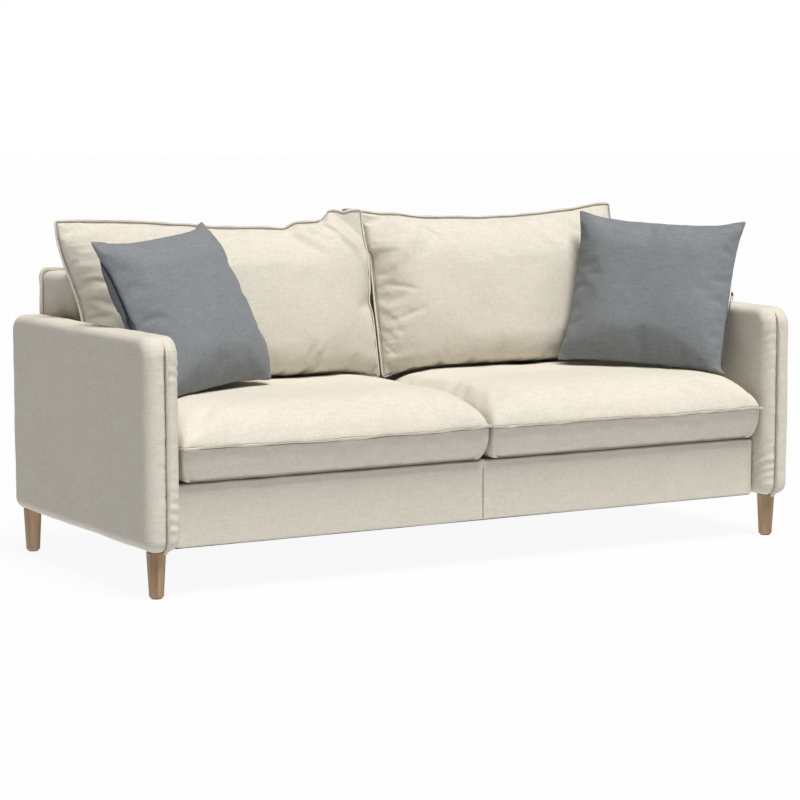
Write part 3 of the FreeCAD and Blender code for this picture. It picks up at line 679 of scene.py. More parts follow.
# Front rail.
def make_rail():
    low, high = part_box("front_rail_cover")
    mid_y = (high.y + low.y) / 2
    for name, side in SIDES.items():
        grid, quads = rounded_slab(high.x - RAIL_SEAM_GAP, high.z - low.z, (high.y - low.y) / 2,
                                   (0.001, 0.004, 0.004, 0.001), RAIL_EDGE_R * 0.45, 0.003, 0.012, 3)
        points = [(side * (RAIL_SEAM_GAP + u), mid_y - w, low.z + v) for u, v, w in grid]

        def height(x, y, z):
            seam = hill(abs(x), 0.012)
            pucker = 0.0010 * seam * ripple(0.0, 0.0, z, 0.013, side)
            top = fade(z, high.z - 0.03, high.z)
            wave = 0.0016 * top * ripple(x, 0.0, 0.0, 0.07, 5.0)
            nub = 0.0035 * top * hill(abs(x), 0.010) * (1.0 if side < 0 else 0.3)
            end = -0.002 * fade(abs(x), high.x - 0.02, high.x)
            return pucker + wave + nub + end + 0.0012 * ripple(x, y, z, 0.14, 2.0) - 0.0012

        frame_cloth(name + "_rail_cloth", points, quads, height,
                    ["front_rail_cover"] if side < 0 else [])
    # A painted shade line down the middle seam of the rail: a dark tube that stands for the shade in the
    # seam's groove.
    heights = np.linspace(low.z + 0.004, high.z - 0.006, 24)
    places = [np.array((0.0, low.y, z)) for z in heights]
    outs = [np.array((0.0, -1.0, 0.0))] * len(places)
    sides = [np.array((1.0, 0.0, 0.0))] * len(places)
    seam_shade_line("rail_seam", places, outs, sides, -0.0034, 0.0)
    foam_low, foam_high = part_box("front_rail_padding")
    slab_piece("rail_foam", foam_low + Vector((0, 0.002, 0)), foam_high - Vector((0, 0, 0.002)), "y", 0.004,
               "foam", ["front_rail_padding"], 0.03)


# Back frame's fabric.
def make_back():
    low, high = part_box("back_cover")
    rear_low, rear_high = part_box("back_rear_panel")
    depth = rear_low.y - low.y
    grid, quads = rounded_slab(high.x - low.x, high.z - low.z, depth / 2, (BACK_CORNER_R,) * 4,
                               BACK_EDGE_R, 0.004, 0.016, 8)
    mid_y = low.y + depth / 2
    points = [(low.x + u, mid_y - w, low.z + v) for u, v, w in grid]

    def height(x, y, z):
        near_seam = fade(y, rear_low.y - 0.05, rear_low.y - 0.006)
        pucker = 0.0011 * near_seam * ripple(x, 0.0, z, 0.016, 1.5)
        return pucker + 0.0016 * ripple(x, y, z, 0.15, 6.0) + 0.0007 * ripple(x, y, z, 0.045, 1.0) - 0.0016

    frame_cloth("back_cloth", points, quads, height, ["back_cover"])
    make_rear_panel(rear_low, rear_high)
    make_back_fin(high)
    make_back_tucks(low, rear_low, rear_high)
    pad_low, pad_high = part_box("back_padding")
    inset = Vector((0.005, 0.005, 0.004))
    slab_piece("back_foam", pad_low + inset, pad_high - inset, "y", 0.018, "foam",
               ["back_padding"], 0.04)


def make_back_tucks(cover_low, rear_low, rear_high):
    """The outside back's cloth turned in round the rail's ends, beside the arms."""
    gap = 0.0008
    for name, side in SIDES.items():
        arm_face = min(abs(corner.x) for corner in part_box(name + "_arm_cover"))
        near, far = sorted((side * (rear_high.x + gap), side * (arm_face - gap)))
        slab_piece(name + "_back_tuck", Vector((near, rear_low.y - 0.040, rear_low.z + 0.001)),
                   Vector((far, rear_low.y, cover_low.z + 0.022)), "x", 0.0012, "cream",
                   [], 0.02)


def make_rear_panel(low, high):
    thick = high.y - low.y
    grid, quads = rounded_slab(high.x - low.x, high.z - low.z, thick / 2 + 0.001,
                               (0.006,) * 4, 0.0012, 0.0012, 0.014, 1)
    mid_y = (high.y + low.y) / 2 - 0.001
    points = [(low.x + u, mid_y + w, low.z + v) for u, v, w in grid]

    def height(x, y, z):
        if y < mid_y:
            return 0.0
        edge = min(high.x - abs(x), high.z - z, z - low.z)
        pucker = 0.0009 * hill(edge, 0.03) * ripple(x, 0.0, z, 0.014, 2.2)
        ripples = 0.0013 * ripple(x * 0.6, 0.0, z * 1.4, 0.12, 4.0)
        return (pucker + ripples) * fade(edge, 0.0, 0.02)

    frame_cloth("back_rear_cloth", points, quads, height, ["back_rear_panel"])


def make_back_fin(cover_high):
    """The flange round the top of the outside back and a little way down each end."""
    low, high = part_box("back_flange")
    proud = high.z - cover_high.z + 0.005
    end_x = cover_high.x - 0.003
    top_z = cover_high.z - 0.005
    radius = BACK_FIN_R
    side_steps, bend_steps, top_steps = 10, 6, 120
    start_z = low.z - 0.014
    route = [(-end_x, start_z + (top_z - radius - start_z) * step / side_steps, -1.0, 0.0)
             for step in range(side_steps)]
    route += [bend(-end_x, top_z, radius, 1, 90 * step / (bend_steps - 1)) for step in range(bend_steps)]
    mirrored = [(-x, z, -out_x, out_z) for x, z, out_x, out_z in reversed(route)]
    route += [(-(end_x - radius) + 2 * (end_x - radius) * (step / top_steps), top_z, 0.0, 1.0)
              for step in range(1, top_steps)]
    route += mirrored
    make_route_fin("back", "back_flange", route, 1, (low.y + high.y) / 2, 1, [proud] * len(route),
                   BACK_FIN_THICK, 0.0014, 9.0, 0.0034, -0.0032)


# Cloth simulation.
def add_cloth(obj, pinned, pressure, slack, bending):
    group = obj.vertex_groups.new(name=CLOTH["vertex_group_mass"])
    group.add([int(i) for i in pinned], 1.0, "REPLACE")
    modifier = obj.modifiers.new("Cloth", "CLOTH")
    for name, value in CLOTH.items():
        setattr(modifier.settings, name, value)
    modifier.settings.bending_stiffness = bending
    modifier.settings.uniform_pressure_force = pressure
    modifier.settings.shrink_min = -slack
    modifier.settings.effector_weights.gravity = 0
    modifier.collision_settings.use_collision = False
    modifier.collision_settings.use_self_collision = False
    modifier.point_cache.frame_start = 1
    modifier.point_cache.frame_end = SIM_FRAMES


def simulate(jobs):
    """jobs are (object, cap): runs every cloth together, then keeps the shape, moved by cap at most."""
    scene = bpy.context.scene
    scene.frame_start = 1
    scene.frame_end = SIM_FRAMES
    for step in range(1, SIM_FRAMES + 1):
        scene.frame_set(step)
    depsgraph = bpy.context.evaluated_depsgraph_get()
    for obj, cap in jobs:
        start = read_points(obj.data)
        evaluated = obj.evaluated_get(depsgraph)
        made = evaluated.to_mesh()
        moved = read_points(made) - start
        evaluated.to_mesh_clear()
        length = np.linalg.norm(moved, axis=1)
        scale = np.minimum(1.0, cap / np.maximum(length, 1e-9))
        obj.modifiers.clear()
        obj.vertex_groups.clear()
        write_points(obj.data, start + moved * scale[:, None])
    scene.frame_set(1)


# Seat cushions.
def crown(across, deep):
    """Height share of a seat cushion's top, 1 in the middle: it falls off sooner at the front."""
    ends = max(0.0, 1 - abs(across) ** SEAT_END_POWER) ** 0.4
    power = SEAT_REAR_POWER if deep > 0 else SEAT_FRONT_POWER
    return ends * math.sqrt(max(0.0, 1 - abs(deep) ** power))


def sine_steps(count, sharpness):
    """Values from -1 to 1, closer together towards both ends."""
    even = np.linspace(-1, 1, count + 1)
    bent = np.sin(math.pi / 2 * even)
    return even * (1 - sharpness) + bent * sharpness


def make_seat(name, side):
    low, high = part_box(name + "_seat_cushion_cover")
    fin_low, fin_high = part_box(name + "_seat_cushion_flange")
    seam_z = (fin_low.z + fin_high.z) / 2
    rise = high.z - seam_z
    mid = (low + high) / 2
    half_x = (high.x - low.x) / 2
    half_y = (high.y - low.y) / 2
    ni, nj, boxing = SEAT_CELLS
    across = sine_steps(ni, 0.55)
    deep = sine_steps(nj, 0.55)
    lattice, quads = box_lattice(ni, nj, boxing)
    points = []
    pinned = []
    seed = 2.0 if side < 0 else 5.5
    for index, (i, j, k) in enumerate(lattice):
        s, t = across[i], deep[j]
        share = k / boxing
        inset = boxing_inset(share, t < -0.99)
        x, y = soften_plan(s * half_x, t * half_y, half_x, half_y, SEAT_PLAN_R)
        x *= (half_x - inset) / half_x
        y *= (half_y - inset) / half_y
        if k == boxing:
            z = seam_z + rise * crown(s, t) * 0.965 + 0.0016 * ripple(x, y, seed, 0.20, seed)
        else:
            z = low.z + (seam_z - low.z) * share
        if k == 0 or (k == boxing and (i in (0, ni) or j in (0, nj))):
            pinned.append(index)
        z += share ** 2 * (0.0040 * ripple(x, y, 0.0, 0.13, seed) + 0.0014 * ripple(x, y, 1.0, 0.045, seed))
        points.append((x, y, z))
    cloth = make_object(name + "_seat_cloth", points, quads, LOOKS["cream"])
    cloth.location = Vector((mid.x, mid.y, 0.0))
    top = {(i, j): index for index, (i, j, k) in enumerate(lattice) if k == boxing}
    return {"obj": cloth, "pinned": pinned, "seam": border_loop(top, ni, nj), "low": low, "high": high,
            "name": name, "side": side, "half": (half_x, half_y)}


def boxing_inset(share, front):
    """How far the boxed side stands in from the seam: most at the front's lower edge."""
    lean = SEAT_LEAN_IN if front else SEAT_LEAN_IN * 0.45
    swell = -0.0035 * math.sin(math.pi * share) ** 1.5
    low = SEAT_LOW_R * 0.6 * max(0.0, 1 - share / 0.14) ** 2
    return lean * (1 - share) ** 1.2 + swell + low


def soften_plan(x, y, half_x, half_y, radius):
    """Rounds the plan's four corners."""
    a = abs(x) - (half_x - radius)
    b = abs(y) - (half_y - radius)
    if a > 0 and b > 0:
        scale = max(a, b) / math.hypot(a, b)
        x = math.copysign(half_x - radius + a * scale, x)
        y = math.copysign(half_y - radius + b * scale, y)
    return x, y


def dress_seat(seat):
    """After the simulation: flatten what rests on the deck, add the flange and the foam."""
    cloth = seat["obj"]
    name = seat["name"]
    low, high = seat["low"], seat["high"]
    half_x, half_y = seat["half"]
    points = read_points(cloth.data)
    points[:, 2] = np.clip(points[:, 2], low.z, high.z + 0.004)
    points[:, 0] = np.clip(points[:, 0], -half_x - 0.001, half_x + 0.001)
    points[:, 1] = np.minimum(points[:, 1], half_y)
    write_points(cloth.data, points)
    loop = points[seat["seam"]]
    subdivide(cloth)
    seed = 1.7 if seat["side"] < 0 else 6.1

    def height(x, y, z):
        front = fade(y, -half_y + 0.05, -half_y)
        near = hill(z - loop[0][2], 0.016)
        return (0.0009 * near * ripple(x, y, 0.0, 0.018, seed) * (0.4 + front)
                + 0.0008 * ripple(x, y, z, 0.07, seed))

    displace(cloth, height)
    cloth.data.transform(Matrix.Translation(cloth.location))
    cloth.location = (0, 0, 0)
    world_loop = loop + np.array((*((low + high) / 2).xy, 0.0))
    body = name + "_seat_cushion"
    make_loop_fin(name + "_seat_fin", world_loop, np.array((0.0, 0.0, 1.0)), seat_fin_proud, SEAT_FIN_TILT,
                  SEAT_FIN_THICK, -1.0, 0.0036, seed, body)
    finish_piece(cloth, body, [body + "_cover"])
    make_core(cloth, name + "_seat_foam", "foam", body, body + "_foam")


def seat_fin_proud(out):
    """The lip is full at the front and small where the neighbours are close."""
    return SEAT_FIN_PROUD if out[1] < -0.7 else SEAT_FIN_SIDE_PROUD


def make_loop_fin(name, loop, normal, proud_of, tilt, thick, line_side, wave, seed, body):
    """A flange round a closed seam; tilt lifts it towards the normal, in degrees. The painted seam shade line
    runs on the normal's side of it where line_side is 1, on both sides where it is -1."""
    count = len(loop)
    outs, sides, prouds = [], [], []
    turn = math.radians(tilt)
    for index in range(count):
        along = loop[(index + 1) % count] - loop[index - 1]
        along = along / np.linalg.norm(along)
        out = np.cross(along, normal)
        out = out / np.linalg.norm(out)
        if np.dot(out, loop[index] - loop.mean(0)) < 0:
            out = -out
        up = normal - np.dot(normal, along) * along
        up = up / np.linalg.norm(up)
        outs.append(out * math.cos(turn) + up * math.sin(turn))
        sides.append(up * math.cos(turn) - out * math.sin(turn))
        prouds.append(proud_of(out))
    places = list(loop)
    fin = fin_mesh(name, places, outs, sides, prouds, thick, True, wave, seed)
    seam_shade_line(name.replace("_fin", "_seam"), places, outs, sides, 0.0012, line_side * (thick / 2 + 0.0007),
              True, body)
    if line_side < 0:
        seam_shade_line(name.replace("_fin", "_upper_seam"), places, outs, sides, 0.0022, thick / 2 + 0.0004,
                  True, body)
    finish_piece(fin, body, [body + "_flange"])


def past_fold(x, z):
    """How far a place on the left back cushion lies past the fold of its empty corner."""
    return (x - EMPTY_CORNER[0]) * EMPTY_CORNER[1] + (z - EMPTY_CORNER[2]) * EMPTY_CORNER[3]


def make_core(cloth, name, look, body, node, trimmed=False):
    """The filling: the cover's own shape drawn in; a knife-edged one is drawn in about its seam.
    A trimmed one also stays out of the empty corner."""
    mesh = cloth.data.copy()
    mesh.name = name
    mesh.materials.clear()
    mesh.materials.append(LOOKS[look])
    points = read_points(mesh)
    low, high = points.min(0), points.max(0)
    mid = (low + high) / 2
    shrink = 1 - 2 * CORE_INSET / (high - low)
    if cloth.matrix_world != Matrix.Identity(4):
        mid[1] = 0.0
        shrink = 1 - 5 * CORE_INSET / (high - low)
        shrink[1] = 0.84
    points = mid + (points - mid) * shrink
    if trimmed:
        back_off = 0.92 * np.maximum(0.0, past_fold(points[:, 0], points[:, 2]) + 0.035)
        points[:, 0] -= back_off * EMPTY_CORNER[1]
        points[:, 2] -= back_off * EMPTY_CORNER[3]
    write_points(mesh, points)
    core = bpy.data.objects.new(name, mesh)
    bpy.context.scene.collection.objects.link(core)
    core.matrix_world = cloth.matrix_world
    finish_piece(core, body, [node])


# Knife-edged cushions.
def node_axes(node):
    """(centre, longest, middle, shortest direction) of a CAD node whose shape has those three axes."""
    points = read_points(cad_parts[node].data)
    centre = (points.max(0) + points.min(0)) / 2
    spread = points - points.mean(0)
    _, vectors = np.linalg.eigh(spread.T @ spread)
    return centre, vectors[:, 2], vectors[:, 1], vectors[:, 0]


def pose_matrix(x_axis, z_axis, centre):
    x_axis = Vector(x_axis).normalized()
    z_axis = Vector(z_axis).normalized()
    y_axis = z_axis.cross(x_axis)
    matrix = Matrix((x_axis, y_axis, z_axis)).transposed().to_4x4()
    matrix.translation = Vector(centre)
    return matrix


def make_lens(name, side, body, matrix, depths, outline, power, cells, look, filled=None):
    """Front and rear panels that share a knife edge. outline(s, t) gives x, y and z of the seam plane.
    filled(x, z) is 0 where a corner stays empty and flat."""
    ni, nj = cells
    across = sine_steps(ni, 0.45)
    up = sine_steps(nj, 0.45)
    lattice, quads = lens_lattice(ni, nj)
    points = []
    pinned = []
    for index, (i, j, face) in enumerate(lattice):
        s, t = across[i], up[j]
        x, y, z = outline(s, t)
        swell = (max(0.0, 1 - abs(s) ** power) * max(0.0, 1 - abs(t) ** power)) ** 0.5
        share = 1.0 if filled is None else filled(x, z)
        depth = depths[0 if face < 0 else 1] * START_SHARE
        points.append((x, y + face * (depth * swell * share + 0.0012 * (share < 1)), z))
        if face == 0 or share < 0.02:
            pinned.append(index)
    obj = make_object(name, points, quads, LOOKS[look])
    obj.matrix_world = matrix
    border = {(i, j): index for index, (i, j, face) in enumerate(lattice) if face == 0}
    return {"obj": obj, "pinned": pinned, "loop": border_loop(border, ni, nj), "faces": lattice[:, 2],
            "matrix": matrix, "depths": depths, "body": body, "side": side}


def refill(cushion):
    """Scales each panel's bulge so that it reaches its full depth again after the simulation."""
    mesh = cushion["obj"].data
    points = read_points(mesh)
    for face, depth in zip((-1, 1), cushion["depths"]):
        panel = cushion["faces"] == face
        reach = np.percentile(np.abs(points[panel, 1]), 99)
        points[panel, 1] *= depth / max(reach, 1e-6)
    write_points(mesh, points)


def slump(obj):
    """Lets the filling settle: the front swells low down, and its lower part hangs towards the seat."""
    points = read_points(obj.data)
    for point in points:
        if point[1] < 0:
            share = point[2] / CUSHION_HALF_Z
            point[2] += CUSHION_SAG * (point[1] / CUSHION_FRONT) * fade(share, 0.5, -0.9)
            point[1] *= 1 - 0.10 * share
    write_points(obj.data, points)


def keep_clear(obj, blockers, matrix, clearance, floors=(), wall=None):
    """Presses a soft piece off its neighbours: out of each blocker, above the floors, off the wall.
    wall is (y, top): above its top it leans away, so that the piece may swell over it."""
    points = read_points(obj.data)
    inverse = matrix.inverted()
    for index, point in enumerate(points):
        world = matrix @ Vector(point)
        for floor in floors:
            hit, _, _, _ = floor.ray_cast(Vector((world.x, world.y, 1.5)), Vector((0, 0, -1)))
            if hit is not None and world.z < hit.z + clearance:
                world.z = hit.z + clearance
        for tree in blockers:
            place, normal, _, _ = tree.find_nearest(world, 0.08)
            if place is not None and (world - place).dot(normal) < clearance:
                world = place + normal * clearance
        if wall is not None:
            above = max(0.0, world.z - wall[1])
            world.y = min(world.y, wall[0] - clearance + above)
        points[index] = inverse @ world
    write_points(obj.data, points)


def tree_of(obj):
    depsgraph = bpy.context.evaluated_depsgraph_get()
    work = bmesh.new()
    work.from_object(obj, depsgraph)
    work.transform(obj.matrix_world)
    tree = BVHTree.FromBMesh(work)
    work.free()
    return tree


def crease(x, z, start_x, start_z, end_x, end_z, width, height):
    """Height at (x, z) of a soft ridge that runs between two places and dies out at both."""
    run_x, run_z = end_x - start_x, end_z - start_z
    length = math.hypot(run_x, run_z)
    along = ((x - start_x) * run_x + (z - start_z) * run_z) / length
    off = ((x - start_x) * run_z - (z - start_z) * run_x) / length
    if along < 0 or along > length:
        return 0.0
    return height * hill(off, width) * math.sin(math.pi * along / length) ** 0.7


def gathers(along, off, pitch, reach, seed):
    """Small puckers that run straight in from a seam and die out."""
    return ripple(along, off * 0.15, seed, pitch, seed) * math.exp(-max(0.0, off) / reach)


def smooth_reach(s, low, high):
    """Runs from -low at s = -1 to high at s = 1 with no kink between."""
    return (high + low) / 2 * s + (high - low) / 2 * s * s


def make_back_cushion(name, side):
    body = name + "_back_cushion"
    centre, long_axis, up_axis, _ = node_axes(body + "_flange")
    x_axis = long_axis * math.copysign(1.0, long_axis[0])
    z_axis = up_axis * math.copysign(1.0, up_axis[2])
    matrix = pose_matrix(x_axis, z_axis, centre - z_axis * 0.005)
    seed = 1.3 if side < 0 else 4.2

    def left_reach(t):
        high = fade(t, -0.25, 0.9)
        notch = 0.008 * hill(t + 0.12, 0.12)
        swell = 0.005 * hill(t - 0.42, 0.25)
        return 0.437 + 0.052 * high, 0.4395 - 0.0065 * high - notch + swell

    def right_reach(t):
        return 0.439 + 0.002 * (1 - t * t) + 0.011 * fade(t, 0.46, 0.54), 0.432 - 0.042 * fade(t, 0.1, 0.9)

    def outline(s, t):
        x = smooth_reach(s, *(left_reach(t) if side < 0 else right_reach(t)))
        y = 0.0
        if side < 0:
            steps = 0.53 * fade(x, 0.228, 0.180) + 0.47 * fade(x, 0.335, 0.293)
            dip = fade(x, -0.50, 0.25) * steps
            lift = 0.013 * fade(x, 0.29, 0.35) - 0.006 * hill(x - 0.38, 0.018)
        else:
            dip = 0.55 * fade(x, -0.46, -0.15) * fade(x, 0.34, 0.02)
            ear = fade(s, -0.86, -1.0)
            lift = 0.004 + 0.012 * fade(x, 0.20, 0.37) + 0.017 * ear
            x -= 0.052 * ear * fade(t, 0.84, 1.0)
            y += 0.030 * fade(s, -0.80, -1.0) * fade(t, 0.55, 0.95)
        wave = 0.0045 * ripple(x, 0.0, seed, 0.10, seed) * fade(abs(x), 0.42, 0.3)
        z = t * CUSHION_HALF_Z + max(0.0, t) ** 3 * (lift - CUSHION_TOP_DIP * dip + wave)
        z -= max(0.0, -t) ** 3 * (0.024 * (abs(x) / 0.44) ** 5 - 0.004)
        return x, y + 0.004 * ripple(x, z, seed, 0.16, seed), z

    def filled(x, z):
        inside = min(1.0, max(0.0, -past_fold(x, z) / 0.075))
        return math.sqrt(1 - (1 - inside) ** 2)

    return make_lens(name + "_back_cloth", side, body, matrix, (CUSHION_FRONT, CUSHION_REAR), outline, 2.8,
                     CUSHION_CELLS, "cream_panel", filled if side < 0 else None)


def make_pillow(name, side):
    body = name + "_pillow"
    centre, up_axis, _, out_axis = node_axes(body + "_zipper")
    z_axis = up_axis * math.copysign(1.0, up_axis[2])
    x_axis = out_axis * math.copysign(1.0, out_axis[0])
    matrix = pose_matrix(x_axis, z_axis, centre - side * x_axis * (PILLOW_HALF_X + 0.0008) + z_axis * 0.085)

    def outline(s, t):
        ear = fade(-t, 0.90, 1.0) if t < 0 < s * side else abs(t) ** 3.5
        x = s * (PILLOW_HALF_X + (PILLOW_EAR_X - PILLOW_HALF_X) * ear)
        mid_z = PILLOW_MID_Z if t > 0 else PILLOW_LOW_Z
        z = t * (mid_z + (PILLOW_EAR_Z - mid_z) * abs(s) ** 3.5)
        x, z = soften_plan(x, z, PILLOW_EAR_X, PILLOW_EAR_Z, PILLOW_CORNER_R)
        if side < 0:
            x -= 0.050 * fade(s, 0.5, 1.0) * fade(t, 0.5, 1.0)
            x -= 0.036 * fade(s, 0.4, 1.0) * fade(t, -0.62, -1.0)
            z -= 0.009 * fade(s, 0.2, 1.0) * fade(t, -0.5, -1.0)
            x -= 0.012 * fade(s, 0.2, 1.0) * hill(t - 0.45, 0.25)
            x -= 0.008 * fade(s, -0.7, -1.0) * fade(t, 0.45, 0.95)
        return x, 0.003 * ripple(x, z, float(side), 0.12, 2.0), z

    return make_lens(body + "_cloth", side, body, matrix, (PILLOW_FRONT, PILLOW_REAR), outline, 3.0,
                     PILLOW_CELLS, "grey")


def back_relief(side, half_x, x, y, z):
    """Puckers along the seams of a back cushion, and the folds that run down from its top."""
    ridge = partial(crease, x, z)
    relief = 0.0034 * gathers(z, half_x - abs(x), 0.020, 0.045, 2.0 + side)
    relief += 0.0022 * gathers(x, CUSHION_HALF_Z - 0.012 - z, 0.026, 0.040, 5.0 + side)
    relief += 0.0040 * ripple(x, 0.0, z, 0.13, 3.0 + side)
    if side < 0:
        relief += ridge(0.15, 0.205, 0.285, 0.11, 0.014, 0.006)
        relief -= ridge(0.135, 0.185, 0.27, 0.09, 0.01, 0.006)
        relief += ridge(0.205, 0.215, 0.33, 0.14, 0.013, 0.006)
        relief -= ridge(0.19, 0.198, 0.3, 0.13, 0.008, 0.005)
        relief += ridge(0.27, 0.215, 0.4, 0.1, 0.013, 0.007)
        relief -= ridge(0.275, 0.19, 0.36, 0.115, 0.008, 0.006)
        relief += ridge(0.33, 0.19, 0.43, 0.03, 0.012, 0.006)
    else:
        relief += ridge(-0.28, 0.21, -0.4, 0.06, 0.013, 0.007)
        relief -= ridge(-0.22, 0.2, -0.33, 0.08, 0.01, 0.005)
        relief += ridge(0.02, 0.2, 0.14, 0.1, 0.013, 0.005)
        relief -= ridge(0.06, 0.2, 0.17, 0.12, 0.009, 0.004)
        relief += ridge(0.18, 0.2, 0.33, 0.1, 0.013, 0.006)
    return relief * fade(y, -0.012, -0.05)


def back_wrinkles(side, half_x, x, y, z):
    """The fine creases of a back cushion's front, small beside its main folds."""
    ridge = partial(crease, x, z)
    relief = 0.0020 * gathers(z, half_x - abs(x), 0.011, 0.028, 7.0 + side)
    relief += 0.0014 * gathers(x, CUSHION_HALF_Z - 0.012 - z, 0.013, 0.022, 8.0 + side)
    if side < 0:
        relief -= ridge(0.285, 0.2, 0.335, 0.15, 0.006, 0.005)
        relief -= ridge(0.33, 0.185, 0.395, 0.12, 0.006, 0.005)
        relief -= ridge(0.375, 0.15, 0.425, 0.06, 0.006, 0.005)
        relief -= ridge(0.4, 0.07, 0.43, -0.03, 0.006, 0.004)
        relief -= ridge(-0.43, 0.06, -0.33, 0.02, 0.007, 0.004)
    else:
        relief -= ridge(-0.32, 0.2, -0.24, 0.13, 0.006, 0.004)
        relief -= ridge(-0.43, 0.02, -0.34, -0.01, 0.007, 0.004)
        relief -= ridge(-0.42, -0.09, -0.33, -0.06, 0.007, 0.004)
        relief -= ridge(0.05, 0.195, 0.13, 0.12, 0.007, 0.004)
    return relief * fade(y, -0.006, -0.03)


def dress_back_cushion(cushion, blockers, floors, wall):
    obj = cushion["obj"]
    body = cushion["body"]
    side = cushion["side"]
    matrix = cushion["matrix"]
    refill(cushion)
    slump(obj)
    half_x = read_points(obj.data)[:, 0].max()
    displace(obj, partial(back_relief, side, half_x))
    keep_clear(obj, blockers, matrix, CUSHION_CLEAR, floors, wall)
    loop = read_points(obj.data)[cushion["loop"]]
    subdivide(obj)
    seed = 3.3 if side < 0 else 9.1
    displace(obj, lambda x, y, z: (0.0007 * ripple(x, y, z, 0.035, seed) - 0.0003
                                   + back_wrinkles(side, half_x, x, y, z)))
    world_loop = np.array([matrix @ Vector(p) for p in loop])
    normal = np.array(matrix.to_3x3() @ Vector((0, -1, 0)))
    finish_piece(obj, body, [body + "_cover"])
    short = body.removesuffix("_cushion")
    make_loop_fin(short + "_fin", world_loop, normal, lambda out: CUSHION_FIN_PROUD, 0.0, CUSHION_FIN_THICK,
                  1.0, 0.0018, seed, body)
    make_core(obj, short + "_fill", "fibre", body, body + "_fill", side < 0)


def pillow_relief(side, x, y, z):
    """Puckers down the zip's edge and along the other seams."""
    face = fade(abs(y), 0.006, 0.03)
    off_zip = PILLOW_HALF_X - side * x
    off_other = PILLOW_HALF_X + side * x
    off_top = PILLOW_MID_Z - abs(z)
    relief = 0.0026 * gathers(z, off_zip, 0.022, 0.040, 1.0 + side)
    relief += 0.0008 * gathers(z, off_other, 0.026, 0.030, 3.0 + side)
    relief += 0.0016 * gathers(x, off_top, 0.024, 0.030, 6.0 + side)
    return (relief + 0.0022 * ripple(x, 0.0, z, 0.11, 4.0 + side)) * face


def dress_pillow(pillow, blockers, floors):
    obj = pillow["obj"]
    body = pillow["body"]
    side = pillow["side"]
    refill(pillow)
    displace(obj, partial(pillow_relief, side))
    keep_clear(obj, blockers, pillow["matrix"], PILLOW_CLEAR, floors)
    subdivide(obj)
    seed = 6.3 if side < 0 else 8.8
    displace(obj, lambda x, y, z: 0.0006 * ripple(x, y, z, 0.035, seed))
    finish_piece(obj, body, [body + "_cover"])
    if side < 0:
        make_placket(body, pillow["matrix"])
    make_core(obj, body + "_core", "fibre", body, body + "_insert")


def make_placket(body, matrix):
    """The flap sewn along a pillow's zipped edge, behind the zip, with a step beside the slider; its dark
    grey is painted shade for that shaded side of the pillow.
    """
    heights = np.linspace(-0.200, 0.212, FLAP_STEPS)
    places = [np.array(matrix @ Vector((-(PILLOW_HALF_X - 0.010), 0.0085, z))) for z in heights]
    out = np.array(matrix.to_3x3() @ Vector((-1, 0, 0)))
    across = np.array(matrix.to_3x3() @ Vector((0, 1, 0)))
    prouds = [0.010 + (0.022 if z > 0.035 else 0.016) * fade(z, 0.215, 0.12) for z in heights]
    flap = fin_mesh(body + "_flap", places, [out] * FLAP_STEPS, [across] * FLAP_STEPS, prouds, 0.0026, False,
                    0.0006, 2.0, "grey_painted_shade")
    finish_piece(flap, body)


# Sheets inside the seat.
def make_inner_sheets():
    for name in ("seat_deck_cloth", "dust_cover"):
        low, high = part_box(name)
        piece = slab_piece(name.replace("_", "") + "_sheet", low, high, "z", 0.0004, "lining",
                           [name], 0.05)
    low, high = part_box("seat_deck_pad")
    slab_piece("seat_deck_felt", low, high, "z", 0.003, "felt", ["seat_deck_pad"], 0.05)


# Studio.
def add_sun(name, strength, angle, towards, colour=(1.0, 1.0, 1.0)):
    sun = bpy.data.lights.new(name, "SUN")
    sun.energy = strength
    sun.angle = math.radians(angle)
    sun.color = colour
    obj = bpy.data.objects.new(name, sun)
    obj.rotation_euler = Vector(towards).to_track_quat("-Z", "Y").to_euler()
    bpy.context.scene.collection.objects.link(obj)


def make_floor():
    floor_z = cad_box[0][2]
    corners = [(x * FLOOR_HALF, y * FLOOR_HALF, floor_z) for x, y in ((-1, -1), (1, -1), (1, 1), (-1, 1))]
    shader = Shader("studio_floor")
    grain = shader.noise(shader.place, 3.0, 2.0)
    shader.set(Base_Color=shader.ramp(grain, [(0.3, (0.036,) * 3), (0.7, (0.042,) * 3)]), Roughness=0.95,
               Specular_IOR_Level=0.1, Emission_Color=(1, 1, 1, 1), Emission_Strength=FLOOR_GLOW)
    make_object("studio_floor", corners, [(0, 1, 2, 3)], shader.material)


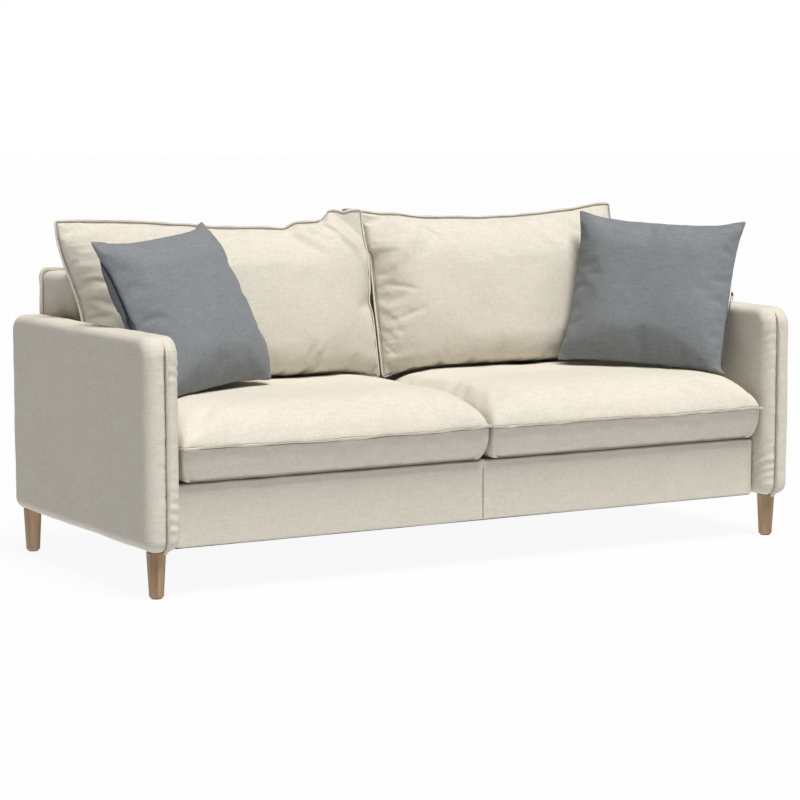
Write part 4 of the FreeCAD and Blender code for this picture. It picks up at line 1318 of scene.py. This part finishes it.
def make_world():
    """White to the camera, and a weak sky light on the sofa."""
    world = bpy.data.worlds.new("studio")
    world.use_nodes = True
    bpy.context.scene.world = world
    tree = world.node_tree
    lit = tree.nodes["Background"]
    lit.inputs["Color"].default_value = (0.96, 0.98, 1.0, 1)
    lit.inputs["Strength"].default_value = SKY_STRENGTH
    seen = tree.nodes.new("ShaderNodeBackground")
    seen.inputs["Color"].default_value = (1, 1, 1, 1)
    seen.inputs["Strength"].default_value = 1.0
    path = tree.nodes.new("ShaderNodeLightPath")
    mix = tree.nodes.new("ShaderNodeMixShader")
    for socket, output in zip(mix.inputs, (path.outputs["Is Camera Ray"], lit.outputs[0], seen.outputs[0])):
        tree.links.new(output, socket)
    tree.links.new(mix.outputs[0], tree.nodes["World Output"].inputs["Surface"])


def make_studio():
    make_floor()
    make_world()
    add_sun("key", SUN_STRENGTH, SUN_ANGLE, SUN_TOWARDS, (1.0, 0.985, 0.96))
    add_sun("fill", FILL_STRENGTH, FILL_ANGLE, FILL_TOWARDS)
    bpy.context.scene.view_settings.view_transform = "Standard"


def make_camera():
    camera = bpy.data.cameras.new("camera")
    camera.lens = CAMERA_LENS
    camera.sensor_width = 36.0
    camera.clip_end = 200.0
    obj = bpy.data.objects.new("camera", camera)
    obj.location = CAMERA_PLACE
    obj.rotation_euler = Euler((math.radians(90 - CAMERA_DOWN), 0.0, math.radians(CAMERA_TURN)))
    bpy.context.scene.collection.objects.link(obj)
    bpy.context.scene.camera = obj


def build():
    make_camera()
    make_studio()
    dress_cad_nodes()
    arms = [make_arm(name, side) for name, side in SIDES.items()]
    make_rail()
    make_back()
    make_inner_sheets()
    seats = [make_seat(name, side) for name, side in SIDES.items()]
    backs = [make_back_cushion(name, side) for name, side in SIDES.items()]
    pillows = [make_pillow(name, side) for name, side in SIDES.items()]
    jobs = []
    for pieces, (pressure, slack, bending, cap) in (
            (seats, SEAT_CLOTH), (backs, CUSHION_CLOTH), (pillows, PILLOW_CLOTH)):
        for piece in pieces:
            add_cloth(piece["obj"], piece["pinned"], pressure, slack, bending)
            jobs.append((piece["obj"], cap))
    simulate(jobs)
    for piece in seats:
        dress_seat(piece)
    bpy.context.view_layer.update()
    seat_trees = [tree_of(piece["obj"]) for piece in seats]
    arm_trees = [tree_of(arm) for arm in arms]
    back_low, back_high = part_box("back_cover")
    for piece in backs:
        dress_back_cushion(piece, arm_trees, seat_trees, (back_low.y, back_high.z))
    bpy.context.view_layer.update()
    back_trees = [tree_of(piece["obj"]) for piece in backs]
    for piece in pillows:
        dress_pillow(piece, back_trees + arm_trees, seat_trees)


build()
bpy.context.view_layer.update()
